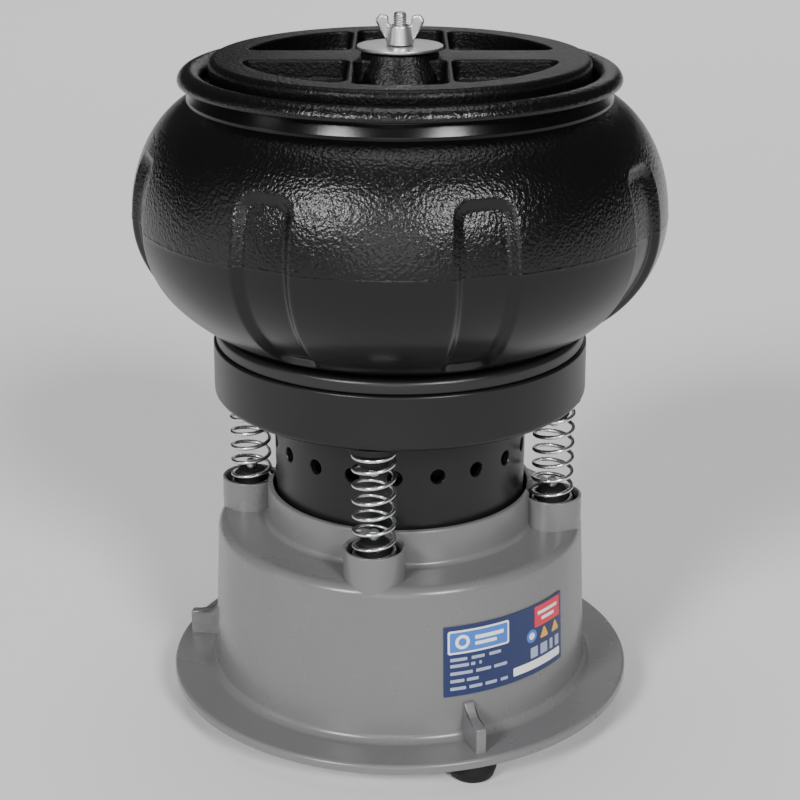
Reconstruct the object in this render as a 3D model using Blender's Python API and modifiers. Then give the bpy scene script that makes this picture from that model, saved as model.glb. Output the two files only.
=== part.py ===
"""Vibratory rock tumbler: a lidded bowl on a sprung motor platform over a moulded base.

Metres, +Z up. The origin is on the floor at the machine's upright axis, and the front is -Y.
An azimuth is measured from the front, growing towards +X.
"""

import math

import bmesh
import bpy
from mathutils import Matrix, Vector

TAU = 2.0 * math.pi
GAP = 0.0003
ROUND = 36
SMALL_ROUND = 12

# Base, from the floor up
FOOT_HEIGHT = 0.012
FOOT_RADIUS = 0.011
FOOT_RING = 0.095
FOOT_AZIMUTH = 20.0
FOOT_COUNT = 3
FLANGE_RADIUS = 0.110
FLANGE_TOP = 0.0165
WALL_BOTTOM_RADIUS = 0.0895
WALL_TOP_RADIUS = 0.0866
DECK_Z = 0.090
SHELL = 0.003
COLLAR_INNER = 0.0600
COLLAR_OUTER = 0.0628
COLLAR_TOP = 0.107
RIB_THICKNESS = 0.0048
COVER_RADIUS = 0.1035
COVER_THICKNESS = 0.0015

# Springs and what seats them
SPRING_RING = 0.0724
SPRING_AZIMUTH = -9.0
SPRING_COUNT = 4
SPRING_RADIUS = 0.0096
SPRING_WIRE = 0.0018
SPRING_PITCH = 0.0082
CLOSED_PITCH = 0.0022
POST_RADIUS = 0.01425
POST_TOP = 0.104
SOCKET_RADIUS = 0.0123
SOCKET_FLOOR = 0.0960
SEAT_THICKNESS = 0.003
SPIGOT_RADIUS = 0.00725
SPIGOT_HEIGHT = 0.0085
SCREW_RADIUS = 0.0016

# Platform and motor housing
PLATFORM_RADIUS = 0.086
PLATFORM_BOTTOM = 0.154
PLATFORM_TOP = 0.1793
PLATE_THICKNESS = 0.005
PEDESTAL_TOP = 0.1845
HOUSING_TOP_RADIUS = 0.0590
HOUSING_LOW_RADIUS = 0.0582
HOUSING_BOTTOM = 0.075
HOUSING_WALL = 0.0028
VENT_COUNT = 19
VENT_AZIMUTH = -2.3
VENT_RADIUS = 0.0033
VENT_Z = 0.1308
RING_RADIUS = 0.0845
RING_INNER = 0.074
RING_TOP = 0.1857

# Motor
CORE_RADIUS = 0.043
CORE_BORE = 0.0246
CORE_LOW = 0.0928
CORE_TOP = 0.1232
ROTOR_RADIUS = 0.024
SHAFT_RADIUS = 0.004
BOLT_RING = 0.048
BOLT_RADIUS = 0.002
BOLT_AZIMUTH = 35.0
BEARING_RADIUS = 0.011

# Bowl and lid
BOWL_WALL = 0.005
BOWL_RADIUS = 0.120
EQUATOR = 0.239
BELLY_TOP = 0.2895
BOWL_FOOT = 0.186
UPPER_REACH = 0.040
UPPER_RISE = 0.054
LOWER_REACH = 0.080
LOWER_DROP = 0.0608
FLUTE_WIDTH = 0.0245
FLUTE_DEPTH = 0.003
FLUTE_AZIMUTH = 17.0
FLUTE_TOP = 0.2705
LEDGE_Z = 0.2935
MOUTH_RADIUS = 0.0805
CONE_TOP = 0.283
ROD_RADIUS = 0.003
ROD_BOTTOM = 0.1625
ROD_TOP = 0.326
LID_RADIUS = 0.0842
LID_TOP = 0.3075
LID_FLOOR = 0.298
POCKET_RADIUS = 0.070
LID_BAR_HALF = 0.0125
LID_RIB_X = 0.0210
LID_RIB_THICKNESS = 0.0026
BOSS_TOP = 0.310
WASHER_TOP = 0.3117
WING_SPAN = 0.0214
WING_AZIMUTH = 84.0

# Rear fittings and the rating plate
SWITCH_AZIMUTH = 157.0
SWITCH_Z = 0.050
PAD_FACE = 0.0905
GLAND_AZIMUTH = 180.0
GLAND_Z = 0.044
LABEL_START = 12.6
LABEL_SPAN = 44.0
LABEL_LOW = 0.0375
LABEL_TOP = 0.0713


def clear_scene():
    """Removes what the start-up scene holds."""
    for old in list(bpy.data.objects):
        bpy.data.objects.remove(old, do_unlink=True)


def collection(name):
    made = bpy.data.collections.new(name)
    bpy.context.scene.collection.children.link(made)
    return made


clear_scene()
PARTS = collection("vibratory_rock_tumbler")
CUTTERS = collection("cutters")


def finish(name, hex_colour, roughness, metallic=0.0):
    """A plain Principled finish; the hex colour is sRGB."""
    srgb = [int(hex_colour[i : i + 2], 16) / 255.0 for i in (0, 2, 4)]
    made = bpy.data.materials.new(name)
    made.use_nodes = True
    shader = made.node_tree.nodes["Principled BSDF"]
    shader.inputs["Base Color"].default_value = [c**2.2 for c in srgb] + [1.0]
    shader.inputs["Roughness"].default_value = roughness
    shader.inputs["Metallic"].default_value = metallic
    return made


GREY_ABS = finish("grey_abs", "8E8E8E", 0.38)
BLACK_SHELL = finish("black_polyethylene", "232323", 0.45)
BLACK_ABS = finish("black_abs", "343434", 0.42)
RUBBER = finish("black_rubber", "161616", 0.75)
ZINC = finish("bright_zinc", "D4D6D8", 0.25, 1.0)
STEEL = finish("machined_steel", "8C8F92", 0.35, 1.0)
LAMINATION = finish("lamination_steel", "5A5C60", 0.5, 1.0)
COPPER = finish("enamelled_copper", "8A4A22", 0.4, 0.6)
ALUMINIUM = finish("cast_aluminium", "A6A8AA", 0.45, 1.0)
LABEL_FILM = finish("navy_label_film", "27365F", 0.35)


def placed(made, name, material, home=PARTS):
    """Names an object, puts it in its collection and gives it its finish."""
    made.name = name
    home.objects.link(made)
    if material is not None:
        made.data.materials.append(material)
    if home is CUTTERS:
        made.hide_render = True
        made.display_type = "WIRE"
    return made


def shaded(mesh):
    mesh.shade_smooth()
    mesh.set_sharp_from_angle(angle=math.radians(35.0))
    return mesh


def arc(centre, radius, start, stop, count):
    """Points (r, z) on a circle's arc, from start to stop degrees, both ends included."""
    turns = [math.radians(start + (stop - start) * i / (count - 1)) for i in range(count)]
    return [(centre[0] + radius * math.cos(t), centre[1] + radius * math.sin(t)) for t in turns]


def turned(name, profile, material=None, closed=True, steps=ROUND, degrees=360.0, home=PARTS):
    """A profile of (r, z) points turned about Z; it runs down the outer side."""
    mesh = bpy.data.meshes.new(name)
    count = len(profile)
    edges = [(i, (i + 1) % count) for i in range(count if closed else count - 1)]
    mesh.from_pydata([(r, 0.0, z) for r, z in profile], edges, [])
    made = placed(bpy.data.objects.new(name, mesh), name, material, home)
    screw = made.modifiers.new("turn", "SCREW")
    screw.steps = screw.render_steps = steps
    screw.angle = math.radians(degrees)
    screw.use_merge_vertices = degrees == 360.0
    screw.merge_threshold = 0.00001
    screw.use_smooth_shade = False
    return made


def ring(name, inner, outer, low, high, material=None, steps=ROUND, home=PARTS):
    return turned(name, [(inner, high), (outer, high), (outer, low), (inner, low)], material, steps=steps, home=home)


def disc(name, radius, low, high, material=None, steps=ROUND, home=PARTS):
    return turned(name, [(0, high), (radius, high), (radius, low), (0, low)], material, False, steps, home=home)


def block(name, low, high, material=None, home=PARTS):
    """An upright box between two corners."""
    mesh = bpy.data.meshes.new(name)
    shape = bmesh.new()
    bmesh.ops.create_cube(shape, size=1.0)
    size = Vector(high) - Vector(low)
    middle = (Vector(high) + Vector(low)) / 2
    bmesh.ops.transform(shape, matrix=Matrix.Translation(middle) @ Matrix.Diagonal((*size, 1)), verts=shape.verts)
    shape.to_mesh(mesh)
    shape.free()
    return placed(bpy.data.objects.new(name, mesh), name, material, home)


def outline(name, points, thickness, material=None, home=PARTS):
    """A flat outline in local X and Y, filled and given its thickness along local Z, as a mesh."""
    curve = bpy.data.curves.new(name, "CURVE")
    curve.dimensions = "2D"
    curve.fill_mode = "BOTH"
    curve.extrude = thickness / 2
    spline = curve.splines.new("POLY")
    spline.points.add(len(points) - 1)
    for point, (x, y) in zip(spline.points, points):
        point.co = (x, y, 0.0, 1.0)
    spline.use_cyclic_u = True
    return placed(mesh_of_curve(name, curve), name, material, home)


def mesh_of_curve(name, curve):
    """The curve's evaluated mesh, with its caps welded on, as a new object."""
    drawn = bpy.data.objects.new(name + "_curve", curve)
    bpy.context.scene.collection.objects.link(drawn)
    bpy.context.view_layer.update()
    mesh = bpy.data.meshes.new_from_object(drawn.evaluated_get(bpy.context.evaluated_depsgraph_get()))
    bpy.data.objects.remove(drawn)
    shape = bmesh.new()
    shape.from_mesh(mesh)
    bmesh.ops.remove_doubles(shape, verts=shape.verts, dist=0.00001)
    shape.to_mesh(mesh)
    shape.free()
    return bpy.data.objects.new(name, mesh)


def joined(name, pieces):
    """Cutters made one mesh of separate bodies, with their places applied."""
    bpy.context.view_layer.update()
    graph = bpy.context.evaluated_depsgraph_get()
    shape = bmesh.new()
    for piece in pieces:
        mesh = bpy.data.meshes.new_from_object(piece.evaluated_get(graph))
        mesh.transform(piece.matrix_world)
        shape.from_mesh(mesh)
        bpy.data.objects.remove(piece)
    mesh = bpy.data.meshes.new(name)
    shape.to_mesh(mesh)
    shape.free()
    return placed(bpy.data.objects.new(name, mesh), name, None, CUTTERS)


def combine(made, other, operation):
    """An exact Boolean with an object that is kept as a cutter."""
    change = made.modifiers.new(operation.lower() + "_" + other.name, "BOOLEAN")
    change.operation = operation
    change.solver = "EXACT"
    change.object = other
    return made


def around(azimuth, radius, z=0.0):
    """The point at an azimuth in degrees from the front, a radius and a height."""
    turn = math.radians(azimuth)
    return Vector((radius * math.sin(turn), -radius * math.cos(turn), z))


def face_out(made, azimuth, radius, z):
    """Turns local Z outwards and local Y upwards, and moves the object to that point."""
    made.location = around(azimuth, radius, z)
    made.rotation_euler = (math.radians(90.0), 0.0, math.radians(azimuth))
    return made


def stand_radially(made, azimuth):
    """Turns local X outwards and local Y upwards, about the machine's axis."""
    made.rotation_euler = (math.radians(90.0), 0.0, math.radians(azimuth - 90.0))
    return made


def spread(start, count):
    """Numbered azimuths, equally spaced round the axis from a first one."""
    return [(index + 1, start + 360.0 * index / count) for index in range(count)]


def rod_cutters(name, radius, low, high, spots, steps=8):
    """Upright round cutters at a list of points, as one mesh."""
    pins = []
    for index, spot in enumerate(spots):
        pin = disc(f"{name}_{index}", radius, low, high, steps=steps, home=CUTTERS)
        pin.location = (spot.x, spot.y, 0.0)
        pins.append(pin)
    return joined(name, pins)


# ---------------------------------------------------------------- base


def base_profile():
    """Outer side downwards from the collar, then back up inside."""
    outside = [(COLLAR_INNER - 0.002, COLLAR_TOP)]
    outside += arc((COLLAR_OUTER - 0.0012, COLLAR_TOP - 0.0012), 0.0012, 90, 0, 2)
    outside += arc((COLLAR_OUTER + 0.0027, DECK_Z + 0.0025), 0.0025, 180, 270, 2)
    outside += arc((WALL_TOP_RADIUS - 0.0045, DECK_Z - 0.0045), 0.0045, 90, 4, 4)
    outside += arc((WALL_BOTTOM_RADIUS + 0.0040, FLANGE_TOP + 0.0040), 0.0040, 178, 270, 3)
    outside += arc((FLANGE_RADIUS - 0.0022, FLANGE_TOP - 0.0015), 0.0022, 90, 0, 3)
    outside += [(FLANGE_RADIUS, FOOT_HEIGHT)]
    recess = FOOT_HEIGHT + COVER_THICKNESS + GAP
    inside = [(COVER_RADIUS + 0.0006, FOOT_HEIGHT), (COVER_RADIUS + 0.0006, recess)]
    inside += [(WALL_BOTTOM_RADIUS - SHELL - 0.0006, recess)]
    inside += [(WALL_TOP_RADIUS - SHELL, DECK_Z - SHELL - 0.004), (WALL_TOP_RADIUS - SHELL - 0.004, DECK_Z - SHELL)]
    inside += [(COLLAR_INNER - 0.002, DECK_Z - SHELL)]
    return outside + inside


def make_rib(index, azimuth):
    """One gusset standing on the flange against the wall."""
    foot = FLANGE_TOP - 0.001
    points = [(0.0868, foot), (0.1055, foot), (0.1055, 0.0272), (0.1047, 0.0280)]
    points += [(0.0960, 0.0287), (0.0926, 0.0300), (0.0908, 0.0332), (0.0868, 0.0340)]
    rib = outline(f"rib_{index}", points, RIB_THICKNESS, home=CUTTERS)
    return stand_radially(rib, azimuth)


def make_base_shell():
    shell = turned("base_shell", base_profile(), GREY_ABS)
    posts = rod_cutters("posts", POST_RADIUS, DECK_Z - 0.010, POST_TOP, spring_spots(), 18)
    ribs = joined("ribs", [make_rib(i, a) for i, a in spread(FOOT_AZIMUTH, FOOT_COUNT)])
    switch_pad = face_out(block("switch_pad", (-0.0115, -0.0150, -0.0065), (0.0115, 0.0150, 0.0), home=CUTTERS),
                          SWITCH_AZIMUTH, PAD_FACE, SWITCH_Z)
    gland_pad = face_out(disc("gland_pad", 0.0110, -0.0060, 0.0, steps=16, home=CUTTERS),
                         GLAND_AZIMUTH, PAD_FACE, GLAND_Z)
    for addition in (posts, ribs, switch_pad, gland_pad):
        combine(shell, addition, "UNION")
    bore = disc("collar_bore", COLLAR_INNER, DECK_Z - 0.02, COLLAR_TOP + 0.01, home=CUTTERS)
    sockets = rod_cutters("sockets", SOCKET_RADIUS, SOCKET_FLOOR, POST_TOP + 0.01, spring_spots(), 14)
    pilots = rod_cutters("post_pilots", SCREW_RADIUS + GAP, SOCKET_FLOOR - 0.0052, SOCKET_FLOOR + 0.001, spring_spots())
    foot_holes = rod_cutters("foot_pilots", SCREW_RADIUS + GAP, FOOT_HEIGHT - 0.001, 0.0240, foot_spots())
    opening = face_out(block("switch_opening", (-0.0072, -0.0107, -0.02), (0.0072, 0.0107, 0.01), home=CUTTERS),
                       SWITCH_AZIMUTH, PAD_FACE, SWITCH_Z)
    inlet = face_out(disc("gland_opening", 0.0066, -0.02, 0.01, steps=SMALL_ROUND, home=CUTTERS),
                     GLAND_AZIMUTH, PAD_FACE, GLAND_Z)
    for removal in (bore, sockets, pilots, foot_holes, opening, inlet):
        combine(shell, removal, "DIFFERENCE")
    return shell


def spring_spots():
    return [around(azimuth, SPRING_RING) for _, azimuth in spread(SPRING_AZIMUTH, SPRING_COUNT)]


def foot_spots():
    return [around(azimuth, FOOT_RING) for _, azimuth in spread(FOOT_AZIMUTH, FOOT_COUNT)]


def make_bottom_cover():
    """A pressed steel disc in the flange's recess, slotted for cooling air."""
    low = FOOT_HEIGHT
    cover = disc("bottom_cover", COVER_RADIUS, low, low + COVER_THICKNESS, ZINC)
    holes = rod_cutters("cover_holes", SCREW_RADIUS + GAP, low - 0.001, low + 0.004, foot_spots())
    slots = []
    for index in range(6):
        slot = block(f"slot_{index}", (0.030, -0.003, low - 0.001), (0.062, 0.003, low + 0.004), home=CUTTERS)
        slot.rotation_euler.z = TAU * index / 6
        slots.append(slot)
    combine(cover, holes, "DIFFERENCE")
    return combine(cover, joined("cover_slots", slots), "DIFFERENCE")


def make_foot(index, spot):
    """A domed rubber foot with a recess under it for its screw's head."""
    top = FOOT_HEIGHT - GAP
    profile = [(0.0020, top), (FOOT_RADIUS, top)]
    profile += arc((FOOT_RADIUS - 0.0040, 0.0034), 0.0034, 8, -90, 4)
    profile += [(0.0044, 0.0), (0.0044, 0.0042), (0.0020, 0.0042)]
    foot = turned(f"foot_{index}", profile, RUBBER, steps=14)
    foot.location = (spot.x, spot.y, 0.0)
    return foot


def make_screw(name, spot, head_radius, head_low, head_high, shank_end, sides=8):
    """A round-headed screw; the shank leaves the head upwards or downwards."""
    if shank_end > head_high:
        profile = [(0, shank_end), (SCREW_RADIUS, shank_end), (SCREW_RADIUS, head_high), (head_radius, head_high)]
        profile += [(head_radius, head_low), (0, head_low)]
    else:
        profile = [(0, head_high), (head_radius, head_high), (head_radius, head_low), (SCREW_RADIUS, head_low)]
        profile += [(SCREW_RADIUS, shank_end), (0, shank_end)]
    screw = turned(name, profile, ZINC, closed=False, steps=sides)
    screw.location = (spot.x, spot.y, 0.0)
    return screw


def wall_radius(z):
    """The base wall's outer radius, which shrinks evenly upwards."""
    low, high = FLANGE_TOP + 0.004, DECK_Z - 0.0045
    share = (z - low) / (high - low)
    return WALL_BOTTOM_RADIUS + (WALL_TOP_RADIUS - WALL_BOTTOM_RADIUS) * share


def make_label():
    """A printed film wrapped round the wall."""
    stand_off = 0.0004
    profile = [(wall_radius(z) + stand_off, z) for z in (LABEL_TOP, LABEL_LOW)]
    label = turned("rating_label", profile, LABEL_FILM, closed=False, steps=10, degrees=LABEL_SPAN)
    label.rotation_euler.z = math.radians(LABEL_START - 90.0)
    wall = label.modifiers.new("film", "SOLIDIFY")
    wall.thickness = 0.0003
    wall.offset = 1.0
    return label


def make_gland():
    """A strain relief bushing whose bore takes the supply cord."""
    profile = [(0.0036, 0.0095), (0.0052, 0.0095), (0.0064, 0.0030), (0.0085, 0.0028), (0.0085, GAP)]
    profile += [(0.0062, GAP), (0.0062, -0.0120), (0.0036, -0.0120)]
    return face_out(turned("cord_gland", profile, RUBBER, steps=SMALL_ROUND), GLAND_AZIMUTH, PAD_FACE, GLAND_Z)


def make_switch():
    """The switch's framed body and the rocker that tips in it."""
    body = block("switch_body", (-0.0069, -0.0104, -0.0140), (0.0069, 0.0104, 0.0010), BLACK_ABS)
    bezel = block("switch_bezel", (-0.0085, -0.0122, GAP), (0.0085, 0.0122, 0.0020), home=CUTTERS)
    well = block("switch_well", (-0.0051, -0.0089, -0.0060), (0.0051, 0.0089, 0.01), home=CUTTERS)
    for piece in (body, bezel, well):
        face_out(piece, SWITCH_AZIMUTH, PAD_FACE, SWITCH_Z)
    combine(body, bezel, "UNION")
    combine(body, well, "DIFFERENCE")
    half, tilt = 0.0076, -8.0
    points = [(-half, 0.0026), (-half, -0.0010), (-0.0018, -0.0038), (0.0018, -0.0038), (half, -0.0010)]
    points += [(half, 0.0026), (half / 2, 0.0017), (0.0, 0.0014), (-half / 2, 0.0017)]
    turn = math.radians(tilt)
    leaning = [(x * math.cos(turn) - y * math.sin(turn), x * math.sin(turn) + y * math.cos(turn)) for x, y in points]
    rocker = outline("switch_rocker", leaning, 0.0092, BLACK_ABS)
    flat = Matrix(((0, 0, 1, 0), (1, 0, 0, 0), (0, 1, 0, 0), (0, 0, 0, 1)))
    rocker.data.transform(flat)
    face_out(rocker, SWITCH_AZIMUTH, PAD_FACE + 0.0010, SWITCH_Z)
    return body, rocker


# ---------------------------------------------------------------- springs


def seat_profile(low):
    """A rubber seat with a domed spigot, its flat face at the bottom."""
    top = low + SEAT_THICKNESS + SPIGOT_HEIGHT
    bore = SCREW_RADIUS + GAP
    profile = [(bore, top), (SPIGOT_RADIUS - 0.0030, top), (SPIGOT_RADIUS, top - 0.0030)]
    profile += [(SPIGOT_RADIUS, low + SEAT_THICKNESS), (SOCKET_RADIUS - 0.0004, low + SEAT_THICKNESS)]
    return profile + [(SOCKET_RADIUS - 0.0004, low), (bore, low)]


def mirrored(profile, z):
    """A profile turned upside down about a height, still running down its outer side."""
    return [(r, 2 * z - height) for r, height in reversed(profile)]


def make_spring(index, spot):
    """A right-hand compression coil whose end turns are closed."""
    low = SOCKET_FLOOR + GAP + SEAT_THICKNESS + GAP + SPRING_WIRE / 2
    high = PLATFORM_BOTTOM - GAP - SEAT_THICKNESS - GAP - SPRING_WIRE / 2
    open_turns = (high - low - 2 * CLOSED_PITCH) / SPRING_PITCH
    turns = open_turns + 2.0
    count = int(turns * 7) + 1
    curve = bpy.data.curves.new(f"spring_{index}", "CURVE")
    curve.dimensions = "3D"
    curve.bevel_depth = SPRING_WIRE / 2
    curve.bevel_resolution = 2
    curve.use_fill_caps = True
    spline = curve.splines.new("POLY")
    spline.points.add(count - 1)
    for step, point in enumerate(spline.points):
        turn = turns * step / (count - 1)
        rise = min(turn, 1.0) * CLOSED_PITCH + max(0.0, min(turn - 1.0, open_turns)) * SPRING_PITCH
        rise += max(0.0, turn - 1.0 - open_turns) * CLOSED_PITCH
        angle = TAU * turn
        point.co = (SPRING_RADIUS * math.cos(angle), SPRING_RADIUS * math.sin(angle), low + rise, 1.0)
    spring = placed(bpy.data.objects.new(f"spring_{index}", curve), f"spring_{index}", ZINC)
    spring.location = (spot.x, spot.y, 0.0)
    return spring


def make_spring_mounts():
    """Each spring with its lower and upper seats and the screws through them."""
    low = SOCKET_FLOOR + GAP
    lower = seat_profile(low)
    upper = mirrored(lower, (low + PLATFORM_BOTTOM - GAP) / 2)
    spigot_top = low + SEAT_THICKNESS + SPIGOT_HEIGHT
    spigot_end = PLATFORM_BOTTOM - GAP - SEAT_THICKNESS - SPIGOT_HEIGHT
    for index, spot in enumerate(spring_spots(), 1):
        for name, profile in ((f"lower_spring_seat_{index}", lower), (f"upper_spring_seat_{index}", upper)):
            turned(name, profile, RUBBER, steps=10).location = (spot.x, spot.y, 0.0)
        make_screw(f"lower_seat_screw_{index}", spot, 0.0026, spigot_top + GAP, spigot_top + 0.0042,
                   SOCKET_FLOOR - 0.0045)
        make_screw(f"upper_seat_screw_{index}", spot, 0.0026, spigot_end - 0.0042, spigot_end - GAP,
                   PLATFORM_BOTTOM + 0.0038)
        make_spring(index, spot)


# ---------------------------------------------------------------- platform and motor


def bolt_spots():
    return [around(BOLT_AZIMUTH + 120.0 * i, BOLT_RING) for i in range(3)]


def make_platform():
    """The drum the bowl stands on, open above, with a pedestal for the rod."""
    floor = PLATFORM_BOTTOM + PLATE_THICKNESS
    profile = [(PLATFORM_RADIUS - 0.0030, PLATFORM_TOP)]
    profile += [(PLATFORM_RADIUS - 0.0010, PLATFORM_TOP), (PLATFORM_RADIUS, PLATFORM_TOP - 0.0010)]
    profile += arc((PLATFORM_RADIUS - 0.0030, PLATFORM_BOTTOM + 0.0030), 0.0030, 0, -90, 3)
    profile += [(0.0, PLATFORM_BOTTOM)]
    inside = [(0.0, ROD_BOTTOM - GAP), (ROD_RADIUS + GAP, ROD_BOTTOM - GAP), (ROD_RADIUS + GAP, PEDESTAL_TOP)]
    inside += [(0.0200, PEDESTAL_TOP), (0.0240, floor + 0.002), (0.0260, floor)]
    inside += [(PLATFORM_RADIUS - 0.0045, floor), (PLATFORM_RADIUS - 0.0035, PLATFORM_TOP)]
    drum = turned("platform", inside + profile, BLACK_ABS, closed=False)
    holes = rod_cutters("platform_pilots", SCREW_RADIUS + GAP, PLATFORM_BOTTOM - 0.001, PLATFORM_BOTTOM + 0.0042,
                        spring_spots())
    bolts = rod_cutters("platform_bolt_holes", BOLT_RADIUS + GAP, PLATFORM_BOTTOM - 0.001, PLATFORM_BOTTOM + 0.0042,
                        bolt_spots())
    combine(drum, holes, "DIFFERENCE")
    return combine(drum, bolts, "DIFFERENCE")


def make_housing():
    """The round motor housing with its row of vent holes, hung from an inward flange."""
    top = PLATFORM_BOTTOM - GAP
    inner_top = HOUSING_TOP_RADIUS - HOUSING_WALL
    profile = [(0.0445, top), (HOUSING_TOP_RADIUS, top), (HOUSING_LOW_RADIUS, HOUSING_BOTTOM)]
    profile += [(HOUSING_LOW_RADIUS - HOUSING_WALL, HOUSING_BOTTOM), (inner_top, top - 0.0030), (0.0445, top - 0.0030)]
    housing = turned("motor_housing", profile, BLACK_ABS, steps=36)
    vents = []
    for index in range(VENT_COUNT):
        vent = disc(f"vent_{index}", VENT_RADIUS, -0.008, 0.008, steps=8, home=CUTTERS)
        vents.append(face_out(vent, VENT_AZIMUTH + 360.0 * index / VENT_COUNT, HOUSING_TOP_RADIUS, VENT_Z))
    combine(housing, joined("vents", vents), "DIFFERENCE")
    bolts = rod_cutters("housing_bolt_holes", BOLT_RADIUS + GAP, top - 0.005, top + 0.002, bolt_spots())
    return combine(housing, bolts, "DIFFERENCE")


def bell_profile(plate_outer, plate_inner, rim, bearing_end, shaft_bore):
    """One end of the motor as a cup: a plate, a rim against the core and a bearing ring."""
    wall = 0.003
    points = [(CORE_RADIUS, plate_outer), (CORE_RADIUS, rim), (CORE_RADIUS - wall, rim), (CORE_RADIUS - wall, plate_inner)]
    points += [(BEARING_RADIUS + 0.0028, plate_inner), (BEARING_RADIUS + 0.0028, bearing_end)]
    points += [(BEARING_RADIUS + GAP, bearing_end), (BEARING_RADIUS + GAP, plate_inner)]
    return points + [(shaft_bore, plate_inner), (shaft_bore, plate_outer)]


def bell_ears(name, low, high):
    """Three ears outside the core for the long bolts, as one mesh."""
    ears = []
    for index in range(3):
        azimuth = BOLT_AZIMUTH + 120.0 * index
        ear = block(f"{name}_{index}", (CORE_RADIUS - 0.002, -0.005, low), (BOLT_RING + 0.0040, 0.005, high), home=CUTTERS)
        ear.rotation_euler.z = math.radians(azimuth - 90.0)
        ears.append(ear)
    return joined(name, ears)


def make_end_bell(name, points, ear_low, ear_high, steps=20):
    bell = turned(name, points, ALUMINIUM, steps=steps)
    combine(bell, bell_ears(name + "_ears", ear_low, ear_high), "UNION")
    holes = rod_cutters(name + "_holes", BOLT_RADIUS + GAP, ear_low - 0.002, ear_high + 0.002, bolt_spots())
    return combine(bell, holes, "DIFFERENCE")


def make_motor():
    """The motor that hangs under the platform: stator, windings, bells, bearings and bolts."""
    upper_top = PLATFORM_BOTTOM - 2 * GAP - 0.0030
    upper = bell_profile(upper_top, upper_top - 0.003, CORE_TOP + GAP, 0.1390, 0.0025)
    make_end_bell("upper_end_bell", [(r, z) for r, z in upper], upper_top - 0.003, upper_top)
    lower_low = CORE_LOW - GAP - 0.026
    lower = bell_profile(lower_low, lower_low + 0.003, CORE_LOW - GAP, lower_low + 0.011, 0.0060)
    make_end_bell("lower_end_bell", list(reversed(lower)), lower_low, lower_low + 0.003)
    ring("stator_core", CORE_BORE, CORE_RADIUS, CORE_LOW, CORE_TOP, LAMINATION, 28)
    for name, low in (("lower_winding", CORE_LOW - GAP - 0.010), ("upper_winding", CORE_TOP + GAP)):
        turned(name, winding_profile(low, low + 0.010), COPPER, steps=20)
    ring("upper_bearing", SHAFT_RADIUS + GAP, BEARING_RADIUS, 0.1397, 0.1467, STEEL, 16)
    ring("lower_bearing", SHAFT_RADIUS + GAP, BEARING_RADIUS, lower_low + 0.0033, lower_low + 0.0103, STEEL, 16)
    for index, spot in enumerate(bolt_spots(), 1):
        make_bolt(index, spot, lower_low - GAP)


def winding_profile(low, high):
    """A rounded ring of coil ends."""
    inner, outer, bend = 0.0258, 0.0385, 0.003
    points = arc((outer - bend, high - bend), bend, 90, 0, 2) + arc((outer - bend, low + bend), bend, 0, -90, 2)
    return points + arc((inner + bend, low + bend), bend, 270, 180, 2) + arc((inner + bend, high - bend), bend, 180, 90, 2)


def make_bolt(index, spot, head_top):
    """A long bolt up through both bells and the housing into the platform."""
    shank = PLATFORM_BOTTOM + 0.0038
    profile = [(0, shank), (BOLT_RADIUS, shank), (BOLT_RADIUS, head_top), (0.0035, head_top)]
    profile += [(0.0035, head_top - 0.003), (0, head_top - 0.003)]
    turned(f"motor_bolt_{index}", profile, ZINC, closed=False, steps=8).location = (spot.x, spot.y, 0.0)


def make_rotor():
    """What spins: core, shaft, cooling fan and the half-disc weight that shakes the bowl."""
    ring("rotor_core", SHAFT_RADIUS + GAP, ROTOR_RADIUS, CORE_LOW - 0.001, CORE_TOP + 0.001, LAMINATION, 28)
    shaft = disc("motor_shaft", SHAFT_RADIUS, 0.0335, 0.1465, STEEL, SMALL_ROUND)
    hub = [(SHAFT_RADIUS + GAP, 0.0640), (0.0360, 0.0640), (0.0360, 0.0625), (0.0090, 0.0625), (0.0090, 0.0545)]
    fan = turned("cooling_fan", hub + [(SHAFT_RADIUS + GAP, 0.0545)], BLACK_ABS, steps=20)
    blades = []
    for index in range(8):
        blade = block(f"blade_{index}", (0.0120, -0.0008, 0.0550), (0.0352, 0.0008, 0.0630), home=CUTTERS)
        blade.rotation_euler.z = TAU * index / 8
        blades.append(blade)
    combine(fan, joined("blades", blades), "UNION")
    weight = disc("eccentric_weight", 0.0340, 0.0345, 0.0505, STEEL, 24)
    spare = block("weight_cut", (-0.05, 0.0, 0.03), (0.05, 0.05, 0.06), home=CUTTERS)
    boss = disc("weight_boss", 0.0095, 0.0347, 0.0503, steps=14, home=CUTTERS)
    hole = disc("weight_bore", SHAFT_RADIUS + GAP, 0.030, 0.060, steps=SMALL_ROUND, home=CUTTERS)
    combine(weight, spare, "DIFFERENCE")
    combine(weight, boss, "UNION")
    combine(weight, hole, "DIFFERENCE")
    return shaft


# ---------------------------------------------------------------- bowl and lid


def belly(count=6):
    """The bowl's outer belly from neck to foot: a rounder ellipse above its equator, a flatter one below."""
    neck = math.acos((BELLY_TOP - EQUATOR) / UPPER_RISE)
    upper = [(BOWL_RADIUS - UPPER_REACH * (1.0 - math.sin(t)), EQUATOR + UPPER_RISE * math.cos(t))
             for t in [neck + (math.pi / 2 - neck) * i / (count - 1) for i in range(count)]]
    foot = math.asin((EQUATOR - BOWL_FOOT) / LOWER_DROP)
    lower = [(BOWL_RADIUS - LOWER_REACH * (1.0 - math.cos(t)), EQUATOR - LOWER_DROP * math.sin(t))
             for t in [foot * i / (count - 1) for i in range(1, count)]]
    return upper + lower


def inset(profile, depth):
    """A profile moved inwards, square to its own direction at each point."""
    moved = []
    for index, (r, z) in enumerate(profile):
        before = profile[max(index - 1, 0)]
        after = profile[min(index + 1, len(profile) - 1)]
        run = Vector((after[0] - before[0], after[1] - before[1])).normalized()
        moved.append((r + run.y * depth, z - run.x * depth))
    return moved


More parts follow.
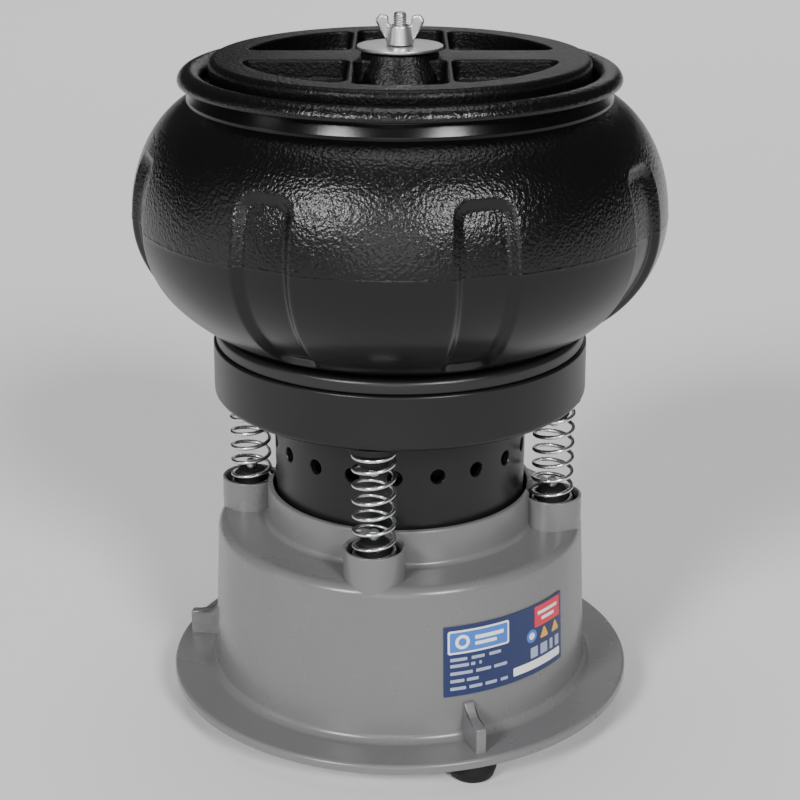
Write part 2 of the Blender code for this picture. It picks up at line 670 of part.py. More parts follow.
def bowl_profile():
    """Outer side downwards, across the foot, up inside the hollow cone, and back up inside."""
    outer = belly()
    rim = arc((0.0922, 0.2975), 0.0056, 165, 10, 6)
    rim += [(0.0980, 0.2925), (0.0962, 0.2900)]
    foot = [(0.0700, BOWL_FOOT), (0.0680, BOWL_FOOT + 0.0020), (0.0320, BOWL_FOOT + 0.0020)]
    cone_inside = [(0.0090, CONE_TOP - BOWL_WALL), (0.0036, CONE_TOP - BOWL_WALL)]
    cone_outside = [(0.0036, CONE_TOP), (0.0130, CONE_TOP), (0.0145, CONE_TOP - 0.0020), (0.0375, 0.1955)]
    inner = inset(outer, BOWL_WALL)
    floor = [(0.0410, 0.1930), (0.0740, 0.1930)]
    inside = [p for p in list(reversed(inner))[::2] if 0.1955 < p[1] < 0.2840]
    ledge = [(MOUTH_RADIUS, 0.2890), (MOUTH_RADIUS, LEDGE_Z), (0.0864, LEDGE_Z)]
    return rim + outer + foot + cone_inside + cone_outside + floor + inside + ledge


def make_bowl():
    bowl = turned("bowl", bowl_profile(), BLACK_SHELL)
    groove = inset(belly(), FLUTE_DEPTH)
    low, high = groove[-2][1], 0.274
    wanted = [p for p in groove if low <= p[1] <= high]
    around_bowl = turned("flute_ring", [(0.140, high), (0.140, low)] + list(reversed(wanted)), home=CUTTERS)
    half = FLUTE_WIDTH / 2
    arch = [(-half, low - 0.002), (half, low - 0.002)] + arc((0.0, FLUTE_TOP - half), half, 0, 180, 6)
    slabs = []
    for index in range(8):
        slab = outline(f"flute_{index}", arch, 0.070, home=CUTTERS)
        slabs.append(face_out(slab, FLUTE_AZIMUTH + 45.0 * index, 0.112, 0.0))
    combine(around_bowl, joined("flute_slabs", slabs), "INTERSECT")
    return combine(bowl, around_bowl, "DIFFERENCE")


def make_nut(name, low, high, radius=0.00577):
    """A hexagon nut with a plain bore that clears the thread."""
    nut = disc(name, radius, low, high, ZINC, 6)
    bore = disc(name + "_bore", ROD_RADIUS + 0.0004, low - 0.001, high + 0.001, steps=SMALL_ROUND, home=CUTTERS)
    return combine(nut, bore, "DIFFERENCE")


def make_lid_pockets():
    """Six pockets: two rows of three, left of, between and right of the thin ribs."""
    well = disc("pocket_disc", POCKET_RADIUS, LID_FLOOR, LID_TOP + 0.01, home=CUTTERS)
    edge = LID_RIB_X + LID_RIB_THICKNESS / 2
    inner = LID_RIB_X - LID_RIB_THICKNESS / 2
    spans = []
    for front, back in ((-0.08, -LID_BAR_HALF), (LID_BAR_HALF, 0.08)):
        for left, right in ((-0.08, -edge), (-inner, inner), (edge, 0.08)):
            spans.append(block(f"pocket_{len(spans)}", (left, front, LID_FLOOR - 0.01), (right, back, LID_TOP + 0.02),
                               home=CUTTERS))
    return combine(well, joined("pocket_blocks", spans), "INTERSECT")


def make_lid():
    """A ribbed disc that drops inside the bowl's rim, with a boss round the rod."""
    under = LEDGE_Z + GAP
    profile = [(0.0, LID_TOP)] + arc((LID_RADIUS - 0.0032, LID_TOP - 0.0032), 0.0032, 90, 0, 4)
    profile += [(LID_RADIUS - 0.0006, under), (0.0, under)]
    lid = turned("lid", profile, BLACK_SHELL, closed=False)
    combine(lid, make_lid_pockets(), "DIFFERENCE")
    boss = turned("lid_boss", [(0, BOSS_TOP), (0.0165, BOSS_TOP), (0.0172, LID_TOP), (0.0215, LID_FLOOR - 0.001),
                               (0, LID_FLOOR - 0.001)], closed=False, steps=18, home=CUTTERS)
    combine(lid, boss, "UNION")
    hole = disc("lid_hole", 0.0036, under - 0.01, BOSS_TOP + 0.01, steps=SMALL_ROUND, home=CUTTERS)
    return combine(lid, hole, "DIFFERENCE")


def make_wing_nut():
    """A pressed hub with two upswept wings."""
    low = WASHER_TOP + GAP
    hub = [(ROD_RADIUS + 0.0004, low + 0.0085), (0.0046, low + 0.0085), (0.0060, low), (ROD_RADIUS + 0.0004, low)]
    nut = turned("wing_nut", hub, ZINC, steps=SMALL_ROUND)
    tip = WING_SPAN / 2
    wing = [(0.0042, low + 0.0010), (0.0058, low + 0.0012), (tip - 0.0018, low + 0.0064)]
    wing += arc((tip - 0.0025, low + 0.0102), 0.0025, -15, 120, 5)
    wing += [(0.0052, low + 0.0106), (0.0042, low + 0.0076)]
    wings = []
    for side in (0.0, 180.0):
        blade = outline(f"wing_{int(side)}", wing, 0.0018, home=CUTTERS)
        wings.append(stand_radially(blade, WING_AZIMUTH + side))
    return combine(nut, joined("wings", wings), "UNION")


def make_bowl_and_lid():
    """The bowl on its rubber ring, clamped by the rod, and the lid held by the wing nut."""
    ring_profile = arc((RING_RADIUS - 0.002, RING_TOP - 0.002), 0.002, 90, 0, 3)
    ring_profile += [(RING_RADIUS, PLATFORM_TOP + GAP)]
    turned("bowl_ring", ring_profile + [(RING_INNER, PLATFORM_TOP + GAP), (RING_INNER, RING_TOP)], RUBBER)
    disc("centre_rod", ROD_RADIUS, ROD_BOTTOM, ROD_TOP, ZINC, SMALL_ROUND)
    make_nut("rod_lower_nut", PEDESTAL_TOP + GAP, PEDESTAL_TOP + 0.0053)
    make_bowl()
    ring("clamp_washer", ROD_RADIUS + 0.0004, 0.0120, CONE_TOP + GAP, CONE_TOP + 0.0018, ZINC, 16)
    make_nut("clamp_nut", CONE_TOP + 0.0021, CONE_TOP + 0.0071)
    make_lid()
    ring("penny_washer", ROD_RADIUS + 0.0004, 0.0190, BOSS_TOP + GAP, WASHER_TOP, ZINC, 24)
    make_wing_nut()


def make_base():
    make_base_shell()
    make_bottom_cover()
    for index, spot in enumerate(foot_spots(), 1):
        make_foot(index, spot)
        make_screw(f"foot_screw_{index}", spot, 0.0038, 0.0008, 0.0039, 0.0235)
    make_label()
    make_gland()
    make_switch()


def main():
    make_base()
    make_spring_mounts()
    make_platform()
    make_housing()
    make_motor()
    make_rotor()
    make_bowl_and_lid()
    for made in PARTS.objects:
        if made.type == "MESH":
            shaded(made.data)


main()
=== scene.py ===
"""Vibratory rock tumbler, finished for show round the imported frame.

Metres, +Z up, front towards -Y. An azimuth is measured from the front and grows towards +X, so a
point at an azimuth a and a radius r stands at (r sin a, -r cos a).
"""

import logging
import math
from collections.abc import Sequence
from dataclasses import dataclass, field
from enum import Enum
from typing import Any

import bpy
import numpy as np
from mathutils import Matrix, Vector


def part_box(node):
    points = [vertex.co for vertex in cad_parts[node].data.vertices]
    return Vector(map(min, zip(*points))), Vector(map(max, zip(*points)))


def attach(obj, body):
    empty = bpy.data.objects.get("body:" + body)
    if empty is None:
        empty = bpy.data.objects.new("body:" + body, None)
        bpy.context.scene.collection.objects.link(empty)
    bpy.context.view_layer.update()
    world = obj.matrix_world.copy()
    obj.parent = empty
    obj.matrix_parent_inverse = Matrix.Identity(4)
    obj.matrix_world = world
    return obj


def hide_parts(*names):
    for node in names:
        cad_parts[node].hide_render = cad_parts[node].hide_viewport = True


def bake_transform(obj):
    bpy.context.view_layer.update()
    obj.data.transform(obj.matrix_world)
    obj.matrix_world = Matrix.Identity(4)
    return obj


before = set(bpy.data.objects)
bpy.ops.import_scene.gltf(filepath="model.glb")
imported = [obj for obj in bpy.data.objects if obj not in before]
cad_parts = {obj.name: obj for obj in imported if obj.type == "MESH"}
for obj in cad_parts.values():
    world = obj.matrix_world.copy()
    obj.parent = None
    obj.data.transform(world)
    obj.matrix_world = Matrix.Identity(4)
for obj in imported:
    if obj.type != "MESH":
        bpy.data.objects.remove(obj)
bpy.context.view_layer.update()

LOG = logging.getLogger("rock_tumbler")
Array = np.ndarray
Object = bpy.types.Object
Material = bpy.types.Material
TAU = 2.0 * math.pi
MM = 0.001
GAP = 0.3 * MM
QUARTER_STEPS = 6


# ---------------------------------------------------------------- surfaces


@dataclass
class Patch:
    """A surface on a grid: its points, and faces of four corners seen from outside."""

    points: Array
    faces: Array

    def moved(self, place: Matrix) -> "Patch":
        """The surface carried by a 4 by 4 matrix."""
        matrix = np.array(place)
        return Patch(self.points @ matrix[:3, :3].T + matrix[:3, 3], self.faces)


def grid(points: Array, closed: bool = False) -> Patch:
    """Faces between the points of a grid whose columns close on themselves.

    Args:
        points: rows by columns by 3; rows run down the outer side, columns anticlockwise from above.
        closed: whether the last row joins the first, as round a wall with an inner side.

    Returns:
        The surface, with its faces pointing outwards.
    """
    rows, columns = points.shape[:2]
    index = np.arange(rows * columns).reshape(rows, columns)
    upper = index if closed else index[:-1]
    lower = np.roll(index, -1, axis=0) if closed else index[1:]
    corners = (upper, lower, np.roll(lower, -1, axis=1), np.roll(upper, -1, axis=1))
    return Patch(points.reshape(-1, 3), np.stack(corners, axis=-1).reshape(-1, 4))


def turn_angles(count: int) -> Array:
    """Equal azimuths once round, in radians."""
    return np.arange(count) * (TAU / count)


def polar(radii: Array, heights: Array, azimuths: Array, closed: bool = False) -> Patch:
    """A surface given by a radius and a height for each row and azimuth.

    The point is (r sin a, -r cos a, z), with r and z arrays of rows by columns.

    Args:
        radii: rows by columns, or rows by 1.
        heights: rows by columns, or rows by 1.
        azimuths: one for each column, in radians.
        closed: whether the last row joins the first.

    Returns:
        The surface about the Z axis.
    """
    shape = (len(radii), len(azimuths))
    r, z = np.broadcast_to(radii, shape), np.broadcast_to(heights, shape)
    return grid(np.stack([r * np.sin(azimuths), -r * np.cos(azimuths), z], axis=-1), closed)


def turned(profile: Array, columns: int, closed: bool = True) -> Patch:
    """A profile of (r, z) points turned about Z; it runs down the outer side."""
    return polar(profile[:, :1], profile[:, 1:], turn_angles(columns), closed)


def in_mm(*corners: tuple[float, float, float]) -> list[tuple[float, float, float]]:
    """Corners and their bends written in millimetres, turned to metres."""
    return [(across * MM, up * MM, bend * MM) for across, up, bend in corners]


def filleted(corners: Sequence[tuple[float, float, float]], steps: int = QUARTER_STEPS,
             closed: bool = True) -> Array:
    """An outline whose corners become arcs tangent to both their sides.

    Each arc's centre lies on the corner's bisector, at radius / sin(half the corner's angle).

    Args:
        corners: x, y and the arc's radius, 0 for a sharp corner.
        steps: segments in each arc.
        closed: whether the last corner joins the first.

    Returns:
        The outline's points.
    """
    pieces = []
    last = len(corners) - 1
    for number, (x, y, radius) in enumerate(corners):
        here = np.array((x, y))
        if radius <= 0.0 or (not closed and number in (0, last)):
            pieces.append(here[None])
            continue
        back = np.array(corners[number - 1][:2]) - here
        ahead = np.array(corners[(number + 1) % len(corners)][:2]) - here
        u, v = back / np.linalg.norm(back), ahead / np.linalg.norm(ahead)
        half = math.acos(float(np.clip(u @ v, -1.0, 1.0))) / 2.0
        reach = min(radius / math.tan(half), 0.49 * np.linalg.norm(back), 0.49 * np.linalg.norm(ahead))
        bend = reach * math.tan(half)
        centre = here + (u + v) / np.linalg.norm(u + v) * bend / math.sin(half)
        start, stop = here + u * reach - centre, here + v * reach - centre
        first = math.atan2(start[1], start[0])
        sweep = (math.atan2(stop[1], stop[0]) - first + math.pi) % TAU - math.pi
        angles = first + sweep * np.linspace(0.0, 1.0, steps + 1)
        pieces.append(centre + bend * np.stack([np.cos(angles), np.sin(angles)], axis=-1))
    return np.vstack(pieces)


def arc(centre: tuple[float, float], radius: float, start: float, stop: float, count: int) -> Array:
    """Points on a circle's arc between two angles in degrees, both ends included."""
    angles = np.radians(np.linspace(start, stop, count))
    return np.array(centre) + radius * np.stack([np.cos(angles), np.sin(angles)], axis=-1)


def lofted(outline: Array, rows: Sequence[tuple[float, float]]) -> Patch:
    """A solid whose cross-section is one outline, inset by a different amount at each height.

    Each point moves along the outline's own inward normal; both ends close on the middle point.

    Args:
        outline: points x, y, anticlockwise.
        rows: inset and height of each section, from the top down.

    Returns:
        The closed surface.
    """
    along = np.roll(outline, -1, axis=0) - np.roll(outline, 1, axis=0)
    along /= np.maximum(np.linalg.norm(along, axis=1, keepdims=True), 1e-12)
    inward = np.stack([-along[:, 1], along[:, 0]], axis=-1)
    middle = outline.mean(axis=0)
    sections = [np.tile(middle, (len(outline), 1))]
    sections += [outline + inward * inset for inset, _ in rows]
    sections.append(sections[0])
    heights = [rows[0][1], *(height for _, height in rows), rows[-1][1]]
    levels = [np.column_stack([section, np.full(len(outline), z)]) for section, z in zip(sections, heights)]
    return grid(np.stack(levels))


def edge_rows(low: float, high: float, bend: float, steps: int = 4) -> list[tuple[float, float]]:
    """Insets and heights of a block whose upper and lower edges are quarter-round.

    Args:
        low: height of the lower face.
        high: height of the upper face.
        bend: radius of the quarter-rounds.
        steps: rows in each quarter-round.

    Returns:
        Inset and height of each row, from the top down.
    """
    turn = np.linspace(0.0, math.pi / 2.0, steps + 1)
    inset, drop = bend * (1.0 - np.sin(turn)), bend * (1.0 - np.cos(turn))
    upper = list(zip(inset.tolist(), (high - drop).tolist()))
    return upper + list(zip(inset[::-1].tolist(), (low + drop[::-1]).tolist()))


def rounded_box(width: float, height: float, corner: float, steps: int = 4) -> Array:
    """A rectangle's outline about the origin with round corners, anticlockwise."""
    x, y = width / 2.0, height / 2.0
    return filleted([(x, y, corner), (-x, y, corner), (-x, -y, corner), (x, -y, corner)], steps)


def swept(path: Array, side: Array, radii: Array, sides: int) -> Patch:
    """A round bar along a path.

    Each ring is the path's point plus r (cos p e1 - sin p e2), where e1 is the side direction made
    square to the path and e2 is the path's direction crossed with e1. Both ends close on the path.

    Args:
        path: points along the bar.
        side: a rough sideways direction at each point.
        radii: the bar's radius at each point.
        sides: points round each ring.

    Returns:
        The closed surface.
    """
    ahead = np.gradient(path, axis=0)
    ahead /= np.linalg.norm(ahead, axis=1, keepdims=True)
    e1 = side - (side * ahead).sum(axis=1, keepdims=True) * ahead
    e1 /= np.linalg.norm(e1, axis=1, keepdims=True)
    e2 = np.cross(ahead, e1)
    turn = turn_angles(sides)[None, :, None]
    rings = path[:, None] + radii[:, None, None] * (np.cos(turn) * e1[:, None] - np.sin(turn) * e2[:, None])
    ends = [np.repeat(path[place][None, None], sides, axis=1) for place in (0, -1)]
    return grid(np.concatenate([ends[0], rings, ends[1]]))


def hexagon(azimuths: Array, across_flats: float) -> Array:
    """The radius of a hexagon at each azimuth: half the flats over the cosine within each side."""
    within = (azimuths + TAU / 12.0) % (TAU / 6.0) - TAU / 12.0
    return across_flats / 2.0 / np.cos(within)


def smoothstep(low: float, high: float, value: Array) -> Array:
    """0 below low, 1 above high and 3t^2 - 2t^3 between."""
    share = np.clip((value - low) / (high - low), 0.0, 1.0)
    return share * share * (3.0 - 2.0 * share)


def box_distance(x: Array, y: Array, half_width: float, low: float, high: float, corner: float) -> Array:
    """Signed distance to an upright rectangle with round corners, negative inside.

    Args:
        x: places across, in metres.
        y: places up, in metres.
        half_width: half of the width.
        low: height of the lower side.
        high: height of the upper side.
        corner: radius of the corners.

    Returns:
        The distance of every place, in metres.
    """
    across = np.abs(x) - half_width + corner
    up = np.abs(y - (low + high) / 2.0) - (high - low) / 2.0 + corner
    outside = np.hypot(np.maximum(across, 0.0), np.maximum(up, 0.0))
    return outside + np.minimum(np.maximum(across, up), 0.0) - corner


def solid(name: str, patches: Sequence[Patch], sharp: float = 38.0) -> Object:
    """One mesh object from several surfaces, with repeated points made one.

    A face that has lost a corner becomes a triangle, and one that has lost two is dropped.

    Args:
        name: the object's name.
        patches: the surfaces.
        sharp: the angle in degrees past which an edge is shaded sharp.

    Returns:
        The new object, at the origin.
    """
    starts = np.cumsum([0, *(len(patch.points) for patch in patches)])
    points = np.vstack([patch.points for patch in patches])
    faces = np.vstack([patch.faces + start for patch, start in zip(patches, starts)])
    _, first, inverse = np.unique(np.round(points, 7), axis=0, return_index=True, return_inverse=True)
    corners = inverse.reshape(-1)[faces]
    kept = corners != np.roll(corners, 1, axis=1)
    totals = kept.sum(axis=1)
    kept &= (totals >= 3)[:, None]
    totals = totals[totals >= 3]
    loops = corners[kept]
    mesh = bpy.data.meshes.new(name)
    mesh.vertices.add(len(first))
    mesh.vertices.foreach_set("co", points[first].astype(np.float32).reshape(-1))
    mesh.loops.add(len(loops))
    mesh.loops.foreach_set("vertex_index", loops.astype(np.int32))
    mesh.polygons.add(len(totals))
    mesh.polygons.foreach_set("loop_start", (np.cumsum(totals) - totals).astype(np.int32))
    mesh.update(calc_edges=True)
    mesh.validate()
    shade(mesh, sharp)
    made = bpy.data.objects.new(name, mesh)
    bpy.context.scene.collection.objects.link(made)
    return made


def shade(mesh: bpy.types.Mesh, sharp: float) -> None:
    """Smooth shading, with edges past an angle in degrees kept sharp."""
    mesh.shade_smooth()
    mesh.set_sharp_from_angle(angle=math.radians(sharp))


def settle(made: Object, sharp: float = 38.0) -> None:
    """Makes an object's modifiers part of its mesh.

    Args:
        made: the object to change.
        sharp: the angle in degrees past which an edge stays sharp.
    """
    graph = bpy.context.evaluated_depsgraph_get()
    mesh = bpy.data.meshes.new_from_object(made.evaluated_get(graph))
    made.modifiers.clear()
    old, made.data = made.data, mesh
    bpy.data.meshes.remove(old)
    shade(mesh, sharp)


class Cut(Enum):
    """What a Boolean does with the second solid."""

    ADD = "UNION"
    REMOVE = "DIFFERENCE"


def carve(made: Object, patches: Sequence[Patch], cut: Cut = Cut.REMOVE, sharp: float = 38.0) -> None:
    """Adds or removes solids with an exact Boolean and keeps the result as the mesh.

    Args:
        made: the object to change.
        patches: closed surfaces of the second solid.
        cut: whether they are added or removed.
        sharp: the angle in degrees past which an edge stays sharp.
    """
    cutter = solid("cutter", patches)
    change = made.modifiers.new("cut", "BOOLEAN")
    change.operation = cut.value
    change.solver = "EXACT"
    change.object = cutter
    settle(made, sharp)
    bpy.data.objects.remove(cutter)


def even_normals(made: Object) -> None:
    """Lets large faces lead the shading, so that cut edges leave no smears on round walls.

    Args:
        made: the object to change.
    """
    weigh = made.modifiers.new("even_normals", "WEIGHTED_NORMAL")
    weigh.keep_sharp = True
    weigh.weight = 90


def facing_out(azimuth: float, radius: float, height: float) -> Matrix:
    """Local Z outwards, local Y upwards, at an azimuth in degrees, a radius and a height.

    Args:
        azimuth: degrees from the front, towards +X.
        radius: distance from the axis.
        height: distance above the floor.

    Returns:
        The matrix that carries a piece there.
    """
    turn = math.radians(azimuth)
    place = Vector((radius * math.sin(turn), -radius * math.cos(turn), height))
    return Matrix.Translation(place) @ Matrix.Rotation(turn, 4, "Z") @ Matrix.Rotation(math.pi / 2.0, 4, "X")


def standing(azimuth: float) -> Matrix:
    """Local X outwards from the axis at an azimuth in degrees, local Y upwards."""
    turn = math.radians(azimuth - 90.0)
    return Matrix.Rotation(turn, 4, "Z") @ Matrix.Rotation(math.pi / 2.0, 4, "X")


def at(x: float, y: float, z: float = 0.0) -> Matrix:
    """A shift."""
    return Matrix.Translation((x, y, z))


def centre(node: str) -> Vector:
    """The middle of a frame node's box."""
    low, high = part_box(node)
    return (Vector(low) + Vector(high)) / 2.0


def span(node: str) -> tuple[float, float]:
    """The lowest and highest Z of a frame node."""
    low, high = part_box(node)
    return float(low[2]), float(high[2])


def reach(node: str) -> float:
    """Half of a round node's width."""
    low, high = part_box(node)
    return (float(high[0]) - float(low[0])) / 2.0


# ---------------------------------------------------------------- finishes


def linear(hex_colour: str) -> tuple[float, float, float, float]:
    """An sRGB hex colour as the linear colour that a shader wants.

    Args:
        hex_colour: the colour as #RRGGBB.

    Returns:
        Linear red, green and blue, and an alpha of one.
    """
    parts = [int(hex_colour[i : i + 2], 16) / 255.0 for i in (1, 3, 5)]
    mixed = [p / 12.92 if p <= 0.04045 else ((p + 0.055) / 1.055) ** 2.4 for p in parts]
    return mixed[0], mixed[1], mixed[2], 1.0


def add(
    tree: bpy.types.NodeTree,
    kind: str,
    settings: dict[str, Any] | None = None,
    links: dict[str | int, bpy.types.NodeSocket] | None = None,
) -> bpy.types.Node:
    """Adds a node.

    Args:
        tree: the material's tree.
        kind: the node's type, without its ShaderNode prefix.
        settings: the node's own settings, or the values of its inputs.
        links: input name or number, and the socket that feeds it.

    Returns:
        The new node.
    """
    node = tree.nodes.new("ShaderNode" + kind)
    for key, value in (settings or {}).items():
        if isinstance(key, str) and hasattr(node, key):
            setattr(node, key, value)
        else:
            node.inputs[key].default_value = value
    for key, source in (links or {}).items():
        tree.links.new(source, node.inputs[key])
    return node


@dataclass(frozen=True)
class Finish:
    """What every finish has: a name, the record's slot, colour, roughness and grain.

    The grain is a noise of the given size in millimetres: it bumps the surface and shifts the
    colour and the roughness a little, as a mould or handling does. Sheen is the share of
    the mirror strength that the surface keeps; 0.5 is all of it.
    """

    name: str
    slot: str
    colour: str
    roughness: float
    metallic: float = 0.0
    ior: float = 1.5
    grain_mm: float = 0.6
    grain_depth_mm: float = 0.02
    shift: float = 0.08
    coat: float = 0.0
    sheen: float = 0.5

    def material(self) -> Material:
        """The Blender material, made once."""
        return bpy.data.materials.get(self.name) or self.build()

    def build(self) -> Material:
        """Starts the tree, lets the finish add its pattern and returns the material.

        Returns:
            The material.
        """
        made = bpy.data.materials.new(self.name)
        made.use_nodes = True
        tree = made.node_tree
        shader = tree.nodes["Principled BSDF"]
        shader.inputs["Metallic"].default_value = self.metallic
        if self.metallic < 0.5:
            shader.inputs["IOR"].default_value = self.ior
            shader.inputs["Specular IOR Level"].default_value = self.sheen
        if self.coat:
            shader.inputs["Coat Weight"].default_value = self.coat
            shader.inputs["Coat Roughness"].default_value = 0.08
        place = add(tree, "TexCoord").outputs["Object"]
        self.pattern(tree, shader, place)
        return made

    def pattern(self, tree: bpy.types.NodeTree, shader: bpy.types.Node, place: bpy.types.NodeSocket) -> None:
        """The even grain of a moulded or handled surface.

        Args:
            tree: the material's nodes.
            shader: its Principled BSDF.
            place: the Object coordinates.
        """
        noise = add(tree, "TexNoise", {"Scale": 1.0 / (self.grain_mm * MM), "Detail": 3.0}, {"Vector": place})
        broad = add(tree, "TexNoise", {"Scale": 28.0, "Detail": 4.0}, {"Vector": place})
        self.tint(tree, shader, broad.outputs["Fac"])
        self.bump(tree, shader, noise.outputs["Fac"], self.grain_depth_mm)

    def tint(self, tree: bpy.types.NodeTree, shader: bpy.types.Node, pattern: bpy.types.NodeSocket) -> None:
        """Colour a little darker and lighter, and roughness a little lower and higher, with a pattern.

        Args:
            tree: the material's nodes.
            shader: its Principled BSDF.
            pattern: values from zero to one.
        """
        red, green, blue, alpha = linear(self.colour)
        ramp = add(tree, "ValToRGB", links={"Fac": pattern})
        changes = (1.0 - self.shift, 1.0 + self.shift)
        for stop, place, change in zip(ramp.color_ramp.elements, (0.32, 0.68), changes):
            stop.position = place
            stop.color = (red * change, green * change, blue * change, alpha)
        tree.links.new(ramp.outputs["Color"], shader.inputs["Base Color"])
        rough = add(tree, "MapRange", {"To Min": self.roughness * 0.88, "To Max": self.roughness * 1.12},
                    {"Value": pattern})
        tree.links.new(rough.outputs["Result"], shader.inputs["Roughness"])

    def bump(self, tree: bpy.types.NodeTree, shader: bpy.types.Node, height: bpy.types.NodeSocket,
             depth_mm: float) -> None:
        """Relief of a real depth in millimetres."""
        relief = add(tree, "Bump", {"Strength": 1.0, "Distance": depth_mm * MM}, {"Height": height})
        tree.links.new(relief.outputs["Normal"], shader.inputs["Normal"])


@dataclass(frozen=True)
class HammeredShell(Finish):
    """Moulded polyethylene: pitted by the mould above the parting line, smooth and matt below it.

    The edge between the two wanders a millimetre or two, and the pits fade over it.
    """

    line: float = 0.2395
    pit_mm: float = 1.7
    pit_depth_mm: float = 0.34

    def pattern(self, tree: bpy.types.NodeTree, shader: bpy.types.Node, place: bpy.types.NodeSocket) -> None:
        """Smooth cell pits over grain, weighted by height.

        Args:
            tree: the material's nodes.
            shader: its Principled BSDF.
            place: the Object coordinates.
        """
        broad = add(tree, "TexNoise", {"Scale": 30.0, "Detail": 4.0}, {"Vector": place})
        self.tint(tree, shader, broad.outputs["Fac"])
        height = add(tree, "SeparateXYZ", links={"Vector": place}).outputs["Z"]
        ragged = add(tree, "TexNoise", {"Scale": 260.0, "Detail": 2.0}, {"Vector": place}).outputs["Fac"]
        wander = add(tree, "Math", {"operation": "MULTIPLY_ADD", 1: 5.0 * MM, 2: -2.5 * MM}, {0: ragged})
        shifted = add(tree, "Math", {"operation": "ADD"}, {0: height, 1: wander.outputs[0]}).outputs[0]
        pitted = add(tree, "MapRange", {"From Min": self.line, "From Max": self.line + 2.0 * MM},
                     {"Value": shifted}).outputs["Result"]
        pit_settings = {"feature": "SMOOTH_F1", "Scale": 1.0 / (self.pit_mm * MM), "Smoothness": 0.6}
        pits = add(tree, "TexVoronoi", pit_settings, {"Vector": place}).outputs["Distance"]
        fine_settings = {"Scale": 1.0 / (self.grain_mm * MM), "Detail": 2.0}
        fine = add(tree, "TexNoise", fine_settings, {"Vector": place}).outputs["Fac"]
        grain = add(tree, "Math", {"operation": "MULTIPLY", 1: 0.7}, {0: fine}).outputs[0]
        deep = add(tree, "Math", {"operation": "MULTIPLY_ADD", 1: 0.55}, {0: pits, 2: grain}).outputs[0]
        weighted = add(tree, "Math", {"operation": "MULTIPLY"}, {0: deep, 1: pitted}).outputs[0]
        smooth = add(tree, "TexNoise", {"Scale": 900.0, "Detail": 3.0}, {"Vector": place}).outputs["Fac"]
        heights = add(tree, "Math", {"operation": "MULTIPLY_ADD", 1: 0.10}, {0: smooth, 2: weighted})
        self.bump(tree, shader, heights.outputs[0], self.pit_depth_mm)


@dataclass(frozen=True)
class TurnedMetal(Finish):
    """Metal worked in a lathe or rolled: fine lines round the axis, a little lighter and darker."""

    line_mm: float = 0.25

    def pattern(self, tree: bpy.types.NodeTree, shader: bpy.types.Node, place: bpy.types.NodeSocket) -> None:
        """Noise drawn out along the work's direction.

        Args:
            tree: the material's nodes.
            shader: its Principled BSDF.
            place: the Object coordinates.
        """
        streaks = add(tree, "Mapping", {"Scale": (1.0, 1.0, 9.0)}, {"Vector": place}).outputs["Vector"]
        settings = {"Scale": 1.0 / (self.line_mm * MM * 4.0), "Detail": 4.0}
        lines = add(tree, "TexNoise", settings, {"Vector": streaks})
        self.tint(tree, shader, lines.outputs["Fac"])
        self.bump(tree, shader, lines.outputs["Fac"], self.grain_depth_mm)


@dataclass(frozen=True)
class StackedSheets(Finish):
    """A stack of punched electrical sheets seen on edge: a fine line at every joint."""

    sheet_mm: float = 1.0

    def pattern(self, tree: bpy.types.NodeTree, shader: bpy.types.Node, place: bpy.types.NodeSocket) -> None:
        """Bands along Z, one for each pair of sheets so that they show.

        Args:
            tree: the material's nodes.
            shader: its Principled BSDF.
            place: the Object coordinates.
        """
        bands = add(tree, "TexWave", {"bands_direction": "Z", "Scale": 1.0 / (self.sheet_mm * MM) / 3.18,
                                      "Distortion": 0.3, "Detail": 1.0}, {"Vector": place})
        self.tint(tree, shader, bands.outputs["Fac"])
        self.bump(tree, shader, bands.outputs["Fac"], self.grain_depth_mm)


# Grey ABS: injection moulded in a polished mould, so it is glossy with a faint grey mottling.
GREY_ABS = Finish("injection_moulded_grey_abs", "grey_abs", "#6E6E6F", 0.27, ior=1.53, grain_mm=1.3,
                  grain_depth_mm=0.010, shift=0.03)
# Black polyethylene: a dull black, sparkling where the mould's pits turn towards the light.
HAMMERED = HammeredShell("hammered_black_polyethylene", "black_shell", "#090909", 0.24, ior=1.51,
                         grain_mm=1.0, sheen=0.40)
LID_SHELL = HammeredShell("hammered_black_lid_polyethylene", "black_shell", "#090909", 0.36, ior=1.51,
                          grain_mm=1.0, sheen=0.20, line=0.2, pit_depth_mm=0.32)
# The rim band comes off a polished part of the mould and shines.
RIM_SHELL = Finish("polished_black_polyethylene", "black_shell", "#060606", 0.22, ior=1.51, grain_mm=2.5,
                   grain_depth_mm=0.012, sheen=0.3)
# Black ABS: moulded against a spark-eroded face, an even satin.
BLACK_ABS = Finish("satin_black_abs", "black_abs", "#151516", 0.34, ior=1.53, grain_mm=0.5,
                   grain_depth_mm=0.01, sheen=0.35)
# Rubber: nearly no shine, slightly dusty.
RUBBER = Finish("moulded_black_rubber", "black_rubber", "#0E0E0E", 0.62, ior=1.52, grain_mm=0.7,
                grain_depth_mm=0.03, shift=0.18, sheen=0.3)
RING_RUBBER = Finish("soft_ring_rubber", "black_rubber", "#191919", 0.36, ior=1.52, grain_mm=0.8,
                     grain_depth_mm=0.012, shift=0.10)
